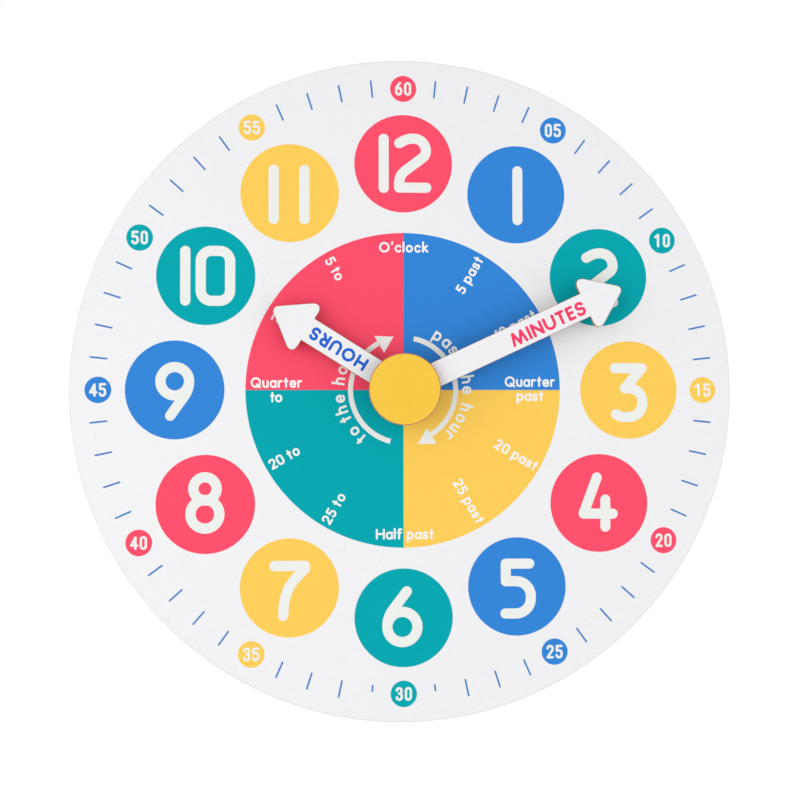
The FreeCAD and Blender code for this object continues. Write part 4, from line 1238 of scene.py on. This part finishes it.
@dataclass
class HourNumbers:
    """The large numerals in luminous ink."""

    face: float
    ring: float = 103.0
    pen: float = 4.6
    proud: float = 0.05

    # How far a number's digits stand right of and above the middle of its circle.
    PLACES = {
        1: (("1", 0.7, -0.4),),
        2: (("2", 0.6, -0.3),),
        7: (("7", -0.6, 0.8),),
        10: (("1", -9.2, 0.0), ("0", 4.3, 0.0)),
        11: (("1", -7.25, -0.6), ("1", 6.65, -0.6)),
        12: (("1", -8.9, 0.1), ("2", 4.2, 0.1)),
    }

    def build(self, paint: Paint) -> bpy.types.Object:
        """Draws the twelve numbers upright in their circles.

        Args:
            paint: Where the material comes from.

        Returns:
            The ink.
        """
        pen = Pen.over_print(self.face, self.proud, self.pen)
        for hour in range(1, HOURS + 1):
            middle = Matrix.Translation(on_dial(self.ring, hour * HOUR_ANGLE))
            for digit, x, y in self.PLACES.get(hour, ((str(hour), 0.0, 0.0),)):
                pen.glyph(HOUR_DIGITS[digit], middle @ moved(x, y))
        return pen.printed("hour_numbers", "clock", paint(Paint.LUMINOUS_INK))


@dataclass
class MinuteNumbers:
    """The small numerals in luminous ink, from 05 to 60."""

    face: float
    ring: float = 137.24
    pen: float = 1.1
    half_pair: float = 2.05
    proud: float = 0.05

    def build(self, paint: Paint) -> bpy.types.Object:
        """Draws the twelve pairs of digits upright in their circles.

        Args:
            paint: Where the material comes from.

        Returns:
            The ink.
        """
        pen = Pen.over_print(self.face, self.proud, self.pen)
        for number in range(NUMBERED_MINUTE, MINUTES + 1, NUMBERED_MINUTE):
            middle = Matrix.Translation(on_dial(self.ring, number * MINUTE_ANGLE))
            for digit, side in zip(f"{number:02d}", (-1.0, 1.0)):
                pen.glyph(MINUTE_DIGITS[digit], middle @ moved(side * self.half_pair, 0.0))
        return pen.printed("minute_numbers", "clock", paint(Paint.LUMINOUS_INK))


@dataclass(frozen=True)
class Inscription:
    """A line of words: the middle of its foot, its length and its turn."""

    text: str
    x: float
    y: float
    length: float
    turn: float = 0.0


def spoke(text: str, minutes: float, radius: float, length: float, outward: bool) -> Inscription:
    """Places a line of words along a minute's direction.

    Args:
        text: The words.
        minutes: The direction, in minutes round the dial.
        radius: How far out the line's middle lies.
        length: The line's length.
        outward: Whether it reads away from the centre.

    Returns:
        The inscription, centred on that direction.
    """
    angle = minutes * MINUTE_ANGLE
    turn = angle - (90.0 if outward else 270.0)
    drop = turned(turn) @ Vector((0.0, -InnerWords.HALF_HEIGHT, 0.0))
    middle = on_dial(radius, angle) + drop
    return Inscription(text, middle.x, middle.y, length, turn)


@dataclass
class InnerWords:
    """The white words on the coloured quarters."""

    face: float
    scale: float = 3.92
    pen: float = 0.9
    proud: float = 0.04

    HALF_HEIGHT = 1.35  # of a small letter's centre line

    def lines(self) -> list[Inscription]:
        """Gives every line of words with its place.

        Returns:
            The inscriptions.
        """
        foot = self.pen / 2.0
        level = [
            Inscription("O'clock", 0.16, 62.45 + foot, 22.45),
            Inscription("Half past", 0.57, -67.66 + foot, 26.35),
            Inscription("Quarter", -57.4, 0.9 + foot, 23.2),
            Inscription("to", -57.55, -5.6 + foot, 5.5),
            Inscription("Quarter", 57.67, 1.39 + foot, 23.0),
            Inscription("past", 57.72, -5.06 + foot, 12.4),
        ]
        past = [
            spoke("5 past", 5.08, 60.45, 18.3, True),
            spoke("10 past", 10.06, 59.1, 20.6, True),
            spoke("20 past", 20.08, 59.2, 21.8, True),
            spoke("25 past", 25.03, 58.5, 22.0, True),
        ]
        to_hour = [
            spoke("25 to", 35, 62.15, 15.0, False),
            spoke("20 to", 40, 61.9, 14.9, False),
            spoke("10 to", 49.91, 61.0, 15.8, False),
            spoke("5 to", 55, 63.2, 11.0, False),
        ]
        return level + past + to_hour

    def build(self, paint: Paint) -> bpy.types.Object:
        """Writes every line.

        Args:
            paint: Where the material comes from.

        Returns:
            The ink.
        """
        pen = Pen.over_print(self.face, self.proud, self.pen)
        for words in self.lines():
            place = moved(words.x, words.y) @ turned(words.turn)
            pen.line(words.text, place, self.scale, words.length)
        return pen.printed("inner_words", "clock", paint(Paint.WHITE_INK))


@dataclass
class CurvedWords:
    """The luminous words that bend round the cap, one letter at a time."""

    face: float
    scale: float = 4.7
    pen: float = 1.02
    foot: float = 26.7  # how far from the dial's centre the letters stand
    proud: float = 0.05

    # Each letter, and its direction in degrees clockwise from twelve.
    PAST_THE_HOUR = (
        ("p", 32.3), ("a", 42.5), ("s", 51.5), ("t", 58.0), ("t", 72.5), ("h", 80.5), ("e", 90.2),
        ("h", 105.8), ("o", 116.4), ("u", 126.4), ("r", 134.7),
    )
    TO_THE_HOUR = (
        ("t", 220.9), ("o", 229.9), ("t", 243.1), ("h", 251.8), ("e", 262.1),
        ("h", 277.9), ("o", 288.1), ("u", 298.6), ("r", 307.1),
    )

    def build(self, paint: Paint) -> bpy.types.Object:
        """Draws each letter with its head outwards.

        Args:
            paint: Where the material comes from.

        Returns:
            The ink.
        """
        pen = Pen.over_print(self.face, self.proud, self.pen)
        baseline = self.foot + self.pen / 2.0
        for letter, angle in self.PAST_THE_HOUR + self.TO_THE_HOUR:
            glyph = LETTERS[letter]
            centred = moved(-glyph.width * self.scale / 2.0, baseline)
            pen.glyph(glyph, turned(angle) @ centred, self.scale)
        return pen.printed("curved_words", "clock", paint(Paint.LUMINOUS_INK))


@dataclass(frozen=True)
class TurnArrow:
    """An arc with an arrowhead: its radius, its two ends and the head's corners."""

    radius: float
    start: float
    end: float
    head: tuple[tuple[float, float], ...]


@dataclass
class TurnArrows:
    """The two luminous arrows that show which half of the hour is which."""

    face: float
    width: float = 2.3
    proud: float = 0.05

    ARROWS = (
        TurnArrow(23.75, 11.3, 148.4, ((6.5, -24.5), (10.5, -17.3), (15.0, -24.4))),
        TurnArrow(24.0, 194.4, 331.5, ((-4.5, 24.2), (-13.2, 24.5), (-8.8, 16.8))),
    )

    def build(self, paint: Paint) -> bpy.types.Object:
        """Draws both arcs with their heads.

        Args:
            paint: Where the material comes from.

        Returns:
            The ink.
        """
        pen = Pen.over_print(self.face, self.proud, self.width, round_ends=False)
        for arrow in self.ARROWS:
            start = on_dial(arrow.radius, arrow.start) + Vector((0.0, 0.0, pen.low))
            heading = turned(arrow.start) @ Vector((1.0, 0.0, 0.0))
            turn = math.radians(arrow.start - arrow.end)
            pen.sweep(pen.nib(start, heading), Vector((0.0, 0.0, pen.low)), turn)
            pen.keep_stroke()
            corners = [pen.mesh.verts.new((x, y, pen.low + RUN_STEP)) for x, y in arrow.head]
            pen.mesh.faces.new(corners)
        return pen.printed("turn_arrows", "clock", paint(Paint.LUMINOUS_INK))


# ---- the hands -----------------------------------------------------------------------

HOUR_HAND_ANGLE = 302.0  # where the hands stand at rest, in degrees clockwise from twelve
MINUTE_HAND_ANGLE = 65.0


@dataclass
class ArrowHand(Board):
    """A white hand with an arrowhead, and the word written along it."""

    name: str = ""
    node: str = ""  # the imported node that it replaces, and the body of the same name
    angle: float = 0.0
    width: float = 11.3
    head_back: float = 89.8  # how far from the dial's axis the arrowhead starts
    head_width: float = 22.6
    reach: float = 107.5  # from the axis to the tip
    bore: float = 2.65
    root: float = 9.0  # the radius of the round end about the axis
    barb_radius: float = 3.0
    tip_radius: float = 2.5
    corner_steps: int = 10
    round_steps: int = 48  # round the root, and round the bore

    def outline(self, stock: Stock) -> None:
        """Draws the hand's flat outline, pointing up, with its bore.

        Args:
            stock: The mesh that takes the outline.
        """
        barb = Vector((self.head_width / 2.0 - self.barb_radius, self.head_back + self.barb_radius))
        tip = Vector((0.0, self.reach - self.tip_radius))
        flank = tip - barb
        slant = math.atan2(-flank.x, flank.y)
        slant += math.asin((self.barb_radius - self.tip_radius) / flank.length)
        outward = Vector((math.cos(slant), math.sin(slant)))
        side = outward.dot(barb) + self.barb_radius
        corner_x = (side - outward.y * self.head_back) / outward.x
        apex = Vector((0.0, side / outward.y))
        half = self.width / 2.0
        mesh = stock.mesh
        last, first = self.root_arc(mesh, half)
        left = [(-half, self.head_back), (-corner_x, self.head_back)]
        path = [*left, tuple(apex), *[(-x, y) for x, y in reversed(left)]]
        corners = [mesh.verts.new((x, y, self.low)) for x, y in path]
        chain = [last, *corners, first]
        for start, end in zip(chain, chain[1:]):
            mesh.edges.new((start, end))
        self.round_corner(mesh, [corners[1], corners[3]], corner_x - barb.x)
        self.round_corner(mesh, [corners[2]], (apex - tip - outward * self.tip_radius).length)
        bmesh.ops.create_circle(
            mesh, cap_ends=False, segments=self.round_steps, radius=self.bore,
            matrix=Matrix.Translation((0.0, 0.0, self.low)),
        )
        bmesh.ops.triangle_fill(mesh, use_beauty=True, use_dissolve=False, edges=mesh.edges[:])

    def root_arc(
        self, mesh: bmesh.types.BMesh, half: float
    ) -> tuple[bmesh.types.BMVert, bmesh.types.BMVert]:
        """Draws the round root, from the right side of the shaft to the left.

        Args:
            mesh: The outline's mesh.
            half: Half of the shaft's width.

        Returns:
            The arc's corners at the left and the right side of the shaft.
        """
        shaft_start = math.sqrt(self.root ** 2 - half ** 2)
        first = mesh.verts.new((half, shaft_start, self.low))
        spun = bmesh.ops.spin(
            mesh, geom=[first], cent=(0.0, 0.0, self.low), axis=(0.0, 0.0, 1.0),
            angle=2.0 * math.atan2(half, shaft_start) - math.tau,
            steps=self.round_steps, use_merge=False, use_duplicate=False,
        )
        last = [item for item in spun["geom_last"] if isinstance(item, bmesh.types.BMVert)][0]
        return last, first

    def round_corner(
        self, mesh: bmesh.types.BMesh, corners: list[bmesh.types.BMVert], reach: float
    ) -> None:
        """Rounds corners of the outline.

        Args:
            mesh: The outline's mesh.
            corners: The sharp corners.
            reach: How far from the corner its arc starts.
        """
        bmesh.ops.bevel(
            mesh, geom=corners, affect="VERTICES", offset=reach, offset_type="OFFSET",
            segments=self.corner_steps, profile=0.5, material=-1,
        )

    def build(self, paint: Paint) -> bpy.types.Object:
        """Cuts the hand and turns it to its time.

        Args:
            paint: Where the materials come from.

        Returns:
            The hand.
        """
        stock = Stock(self.low, self.high)
        self.outline(stock)
        self.rise(stock)
        materials = [paint(Paint.WHITE_LACQUER), paint(Paint.SCORCHED), paint(Paint.RAW_BOARD)]
        piece = stock.finish(self.name, self.node, materials, turned(self.angle))
        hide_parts(self.node)
        return piece


@dataclass
class HandWord:
    """The word along a hand, written from its root towards its tip."""

    text: str
    body: str
    face: float
    angle: float
    finish: Finish
    inner: float  # where the word starts and ends, from the middle of the dial
    outer: float
    scale: float
    pen: float
    middle: float  # how far the word's middle lies beside the hand's
    proud: float = 0.03

    def build(self, paint: Paint) -> bpy.types.Object:
        """Writes the word, with its first letter nearest the root.

        Args:
            paint: Where the material comes from.

        Returns:
            The ink.
        """
        pen = Pen(self.face - self.proud * INK_BEDDING, self.face + self.proud, self.pen)
        along = moved((self.inner + self.outer) / 2.0, self.middle - self.scale / 2.0)
        place = turned(self.angle - 90.0) @ along
        pen.line(self.text, place, self.scale, self.outer - self.inner)
        return pen.printed(self.text.lower() + "_word", self.body, paint(self.finish))


@dataclass
class HandCap(Board):
    """The yellow disc over the middle of the hands."""

    radius: float = 16.0
    segments: int = 128

    def build(self, paint: Paint) -> bpy.types.Object:
        """Cuts the disc.

        Args:
            paint: Where the materials come from.

        Returns:
            The cap.
        """
        stock = Stock(self.low, self.high)
        stock.disc(self.radius, self.segments, Vector((0.0, 0.0, 0.0)))
        self.rise(stock)
        materials = [paint(Paint.CAP_LACQUER), paint(Paint.SCORCHED), paint(Paint.RAW_BOARD)]
        piece = stock.finish("yellow_cap", "minute_hand", materials)
        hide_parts("hand_cap")
        return piece


# ---- the movement --------------------------------------------------------------------


@dataclass
class Movement:
    """The quartz movement and what clamps it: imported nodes, each given its own finish."""

    slots: dict[str, str]

    def dress(self, paint: Paint) -> None:
        """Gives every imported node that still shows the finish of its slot.

        Args:
            paint: Where the materials come from.
        """
        for name, node in frame["nodes"].items():
            finish = Paint.BY_SLOT.get(self.slots[name])
            if finish is None or node.hide_render:
                continue
            material = paint(finish)
            for place in node.material_slots:
                place.material = material
            log.info("%s is %s", name, finish.name)


# ---- the studio ----------------------------------------------------------------------


@dataclass
class Camera:
    """The camera in front of the clock, a little left of and below its middle."""

    place: tuple[float, float, float] = (-0.03071, -0.62229, -0.01695)  # in metres
    aim: tuple[float, float, float] = (0.04856, 0.99860, 0.02067)
    roll: float = -0.00109
    sensor: float = 36.0
    focal_share: float = 1.65369  # focal length over the width of the sensor

    def build(self) -> None:
        """Adds the camera and makes it the scene's own."""
        data = bpy.data.cameras.new("studio_camera")
        data.sensor_width = self.sensor
        data.lens = self.sensor * self.focal_share
        camera = add_object("studio_camera", data)
        forward = Vector(self.aim).normalized()
        right = forward.cross(Vector((0.0, 0.0, 1.0))).normalized()
        up = right.cross(forward)
        turn = Matrix((right, up, -forward)).transposed().to_4x4()
        roll = Matrix.Rotation(self.roll, 4, "Z")
        camera.matrix_world = Matrix.Translation(self.place) @ turn @ roll
        bpy.context.scene.camera = camera


@dataclass(frozen=True)
class SoftBox:
    """A square lamp that faces the clock."""

    name: str
    place: tuple[float, float, float]  # in metres, as its size is
    size: float
    power: float  # in watts

    def build(self) -> None:
        """Hangs the lamp and turns it to the clock."""
        data = bpy.data.lights.new(self.name, "AREA")
        data.shape = "SQUARE"
        data.size = self.size
        data.energy = self.power
        lamp = add_object(self.name, data)
        lamp.location = self.place
        lamp.rotation_euler = (-Vector(self.place)).to_track_quat("-Z", "Y").to_euler()


@dataclass
class Studio:
    """The plain white room: soft boxes, an even sky and a low floor."""

    sky: float = 0.62
    floor_height: float = -0.42  # in metres from the middle of the dial
    floor_half: float = 0.9
    floor_squares: int = 4  # along each side
    floor_colour: Colour = (243, 243, 243)
    floor_roughness: float = 0.9
    floor_specular: float = 0.1
    fade_start: float = 0.35  # how far out the floor begins to fade to white, and ends
    fade_end: float = 0.75

    LAMPS = (
        SoftBox("left_box", (-1.1, -1.0, 0.1), 1.4, 8.5),
        SoftBox("right_box", (1.1, -1.0, -0.1), 1.4, 6.35),
        SoftBox("left_back_box", (-1.1, 1.0, 0.3), 1.6, 10.5),
        SoftBox("right_back_box", (1.1, 1.0, 0.3), 1.6, 10.5),
    )

    def build(self) -> None:
        """Lights the clock and lays the floor."""
        for lamp in self.LAMPS:
            lamp.build()
        self.build_sky()
        self.build_floor()
        bpy.context.scene.view_settings.view_transform = "Standard"

    def build_sky(self) -> None:
        """Makes the even light, which the camera and reflections see as plain white."""
        recipe = Recipe(bpy.data.worlds.new("white_room"))
        recipe.tree.nodes.clear()
        path = recipe.node("LightPath")
        seen = recipe.node("Math", operation="MAXIMUM")
        recipe.join(path, "Is Camera Ray", seen, 0)
        recipe.join(path, "Is Glossy Ray", seen, 1)
        direct = recipe.node("Math", operation="MAXIMUM")
        recipe.join(seen, "Value", direct, 0)
        recipe.join(path, "Is Transmission Ray", direct, 1)
        plain_white = (1.0, 1.0, 1.0, 1.0)
        lighting = recipe.node("Background", {"Color": plain_white, "Strength": self.sky})
        white = recipe.node("Background", {"Color": plain_white})
        mix = recipe.node("MixShader")
        recipe.join(direct, "Value", mix, 0)
        recipe.join(lighting, "Background", mix, 1)
        recipe.join(white, "Background", mix, 2)
        recipe.join(mix, "Shader", recipe.node("OutputWorld"), "Surface")
        bpy.context.scene.world = recipe.owner

    def build_floor(self) -> None:
        """Lays the pale floor, which fades to the white of the room away from the clock."""
        mesh = bmesh.new()
        bmesh.ops.create_grid(
            mesh, x_segments=self.floor_squares, y_segments=self.floor_squares,
            size=self.floor_half, matrix=Matrix.Translation((0.0, 0.0, self.floor_height)),
        )
        data = bpy.data.meshes.new("floor")
        mesh.to_mesh(data)
        mesh.free()
        data.materials.append(self.floor_material())
        add_object("floor", data)

    def floor_material(self) -> bpy.types.Material:
        """Makes the floor's material.

        Returns:
            A pale matt surface that turns into plain white for the camera far from the clock.
        """
        recipe = Recipe.material("pale_floor")
        shader = recipe.shader
        shader.inputs["Base Color"].default_value = linear(self.floor_colour)
        shader.inputs["Roughness"].default_value = self.floor_roughness
        shader.inputs["Specular IOR Level"].default_value = self.floor_specular
        distance = recipe.node("VectorMath", operation="LENGTH")
        recipe.join(recipe.node("TexCoord"), "Object", distance, 0)
        fade = recipe.node(
            "MapRange",
            {"From Min": math.hypot(self.fade_start, self.floor_height),
             "From Max": math.hypot(self.fade_end, self.floor_height)},
            interpolation_type="SMOOTHSTEP",
        )
        recipe.join(distance, "Value", fade, "Value")
        seen = recipe.node("Math", operation="MULTIPLY")
        recipe.join(fade, "Result", seen, 0)
        recipe.join(recipe.node("LightPath"), "Is Camera Ray", seen, 1)
        white = recipe.node("Emission", {"Strength": 1.0})
        mix = recipe.node("MixShader")
        recipe.join(seen, "Value", mix, 0)
        recipe.join(shader, "BSDF", mix, 1)
        recipe.join(white, "Emission", mix, 2)
        recipe.join(mix, "Shader", recipe.tree.nodes["Material Output"], "Surface")
        return recipe.owner


# ---- the whole clock -----------------------------------------------------------------


def main() -> None:
    """Builds the clock and its studio."""
    logging.basicConfig(level=logging.INFO, format="%(message)s")
    Camera().build()
    Studio().build()
    paint = Paint()

    board_back, face = node_depths("dial_plate")
    DialBoard(node_radius("dial_plate"), board_back, face).build(paint)
    for hue in Hue:
        ColourPrint(hue, face).build(paint)
    for print_pass in (MinuteTicks, HourNumbers, MinuteNumbers, InnerWords, CurvedWords, TurnArrows):
        print_pass(face).build(paint)

    hour_back, hour_front = node_depths("hour_hand")
    ArrowHand(
        hour_back, hour_front, name="hour_arrow", node="hour_hand", angle=HOUR_HAND_ANGLE,
        width=11.4, head_back=50.8, head_width=23.0, reach=68.6, bore=3.4,
    ).build(paint)
    HandWord(
        "HOURS", "hour_hand", hour_front, HOUR_HAND_ANGLE, Paint.HOURS_INK,
        inner=20.15, outer=49.1, scale=4.8, pen=1.3, middle=0.05,
    ).build(paint)
    minute_back, minute_front = node_depths("minute_hand")
    ArrowHand(
        minute_back, minute_front, name="minute_arrow", node="minute_hand", angle=MINUTE_HAND_ANGLE,
    ).build(paint)
    HandWord(
        "MINUTES", "minute_hand", minute_front, MINUTE_HAND_ANGLE, Paint.MINUTES_INK,
        inner=52.5, outer=89.1, scale=5.1, pen=1.33, middle=-0.6,
    ).build(paint)
    cap_back, cap_front = node_depths("hand_cap")
    HandCap(cap_back, cap_front, taper=0.35, radius=node_radius("hand_cap")).build(paint)

    slots = {part["node"]: part["material_slot"] for part in frame["record"]["subparts"]}
    Movement(slots).dress(paint)


if __name__ == "__main__":
    main()
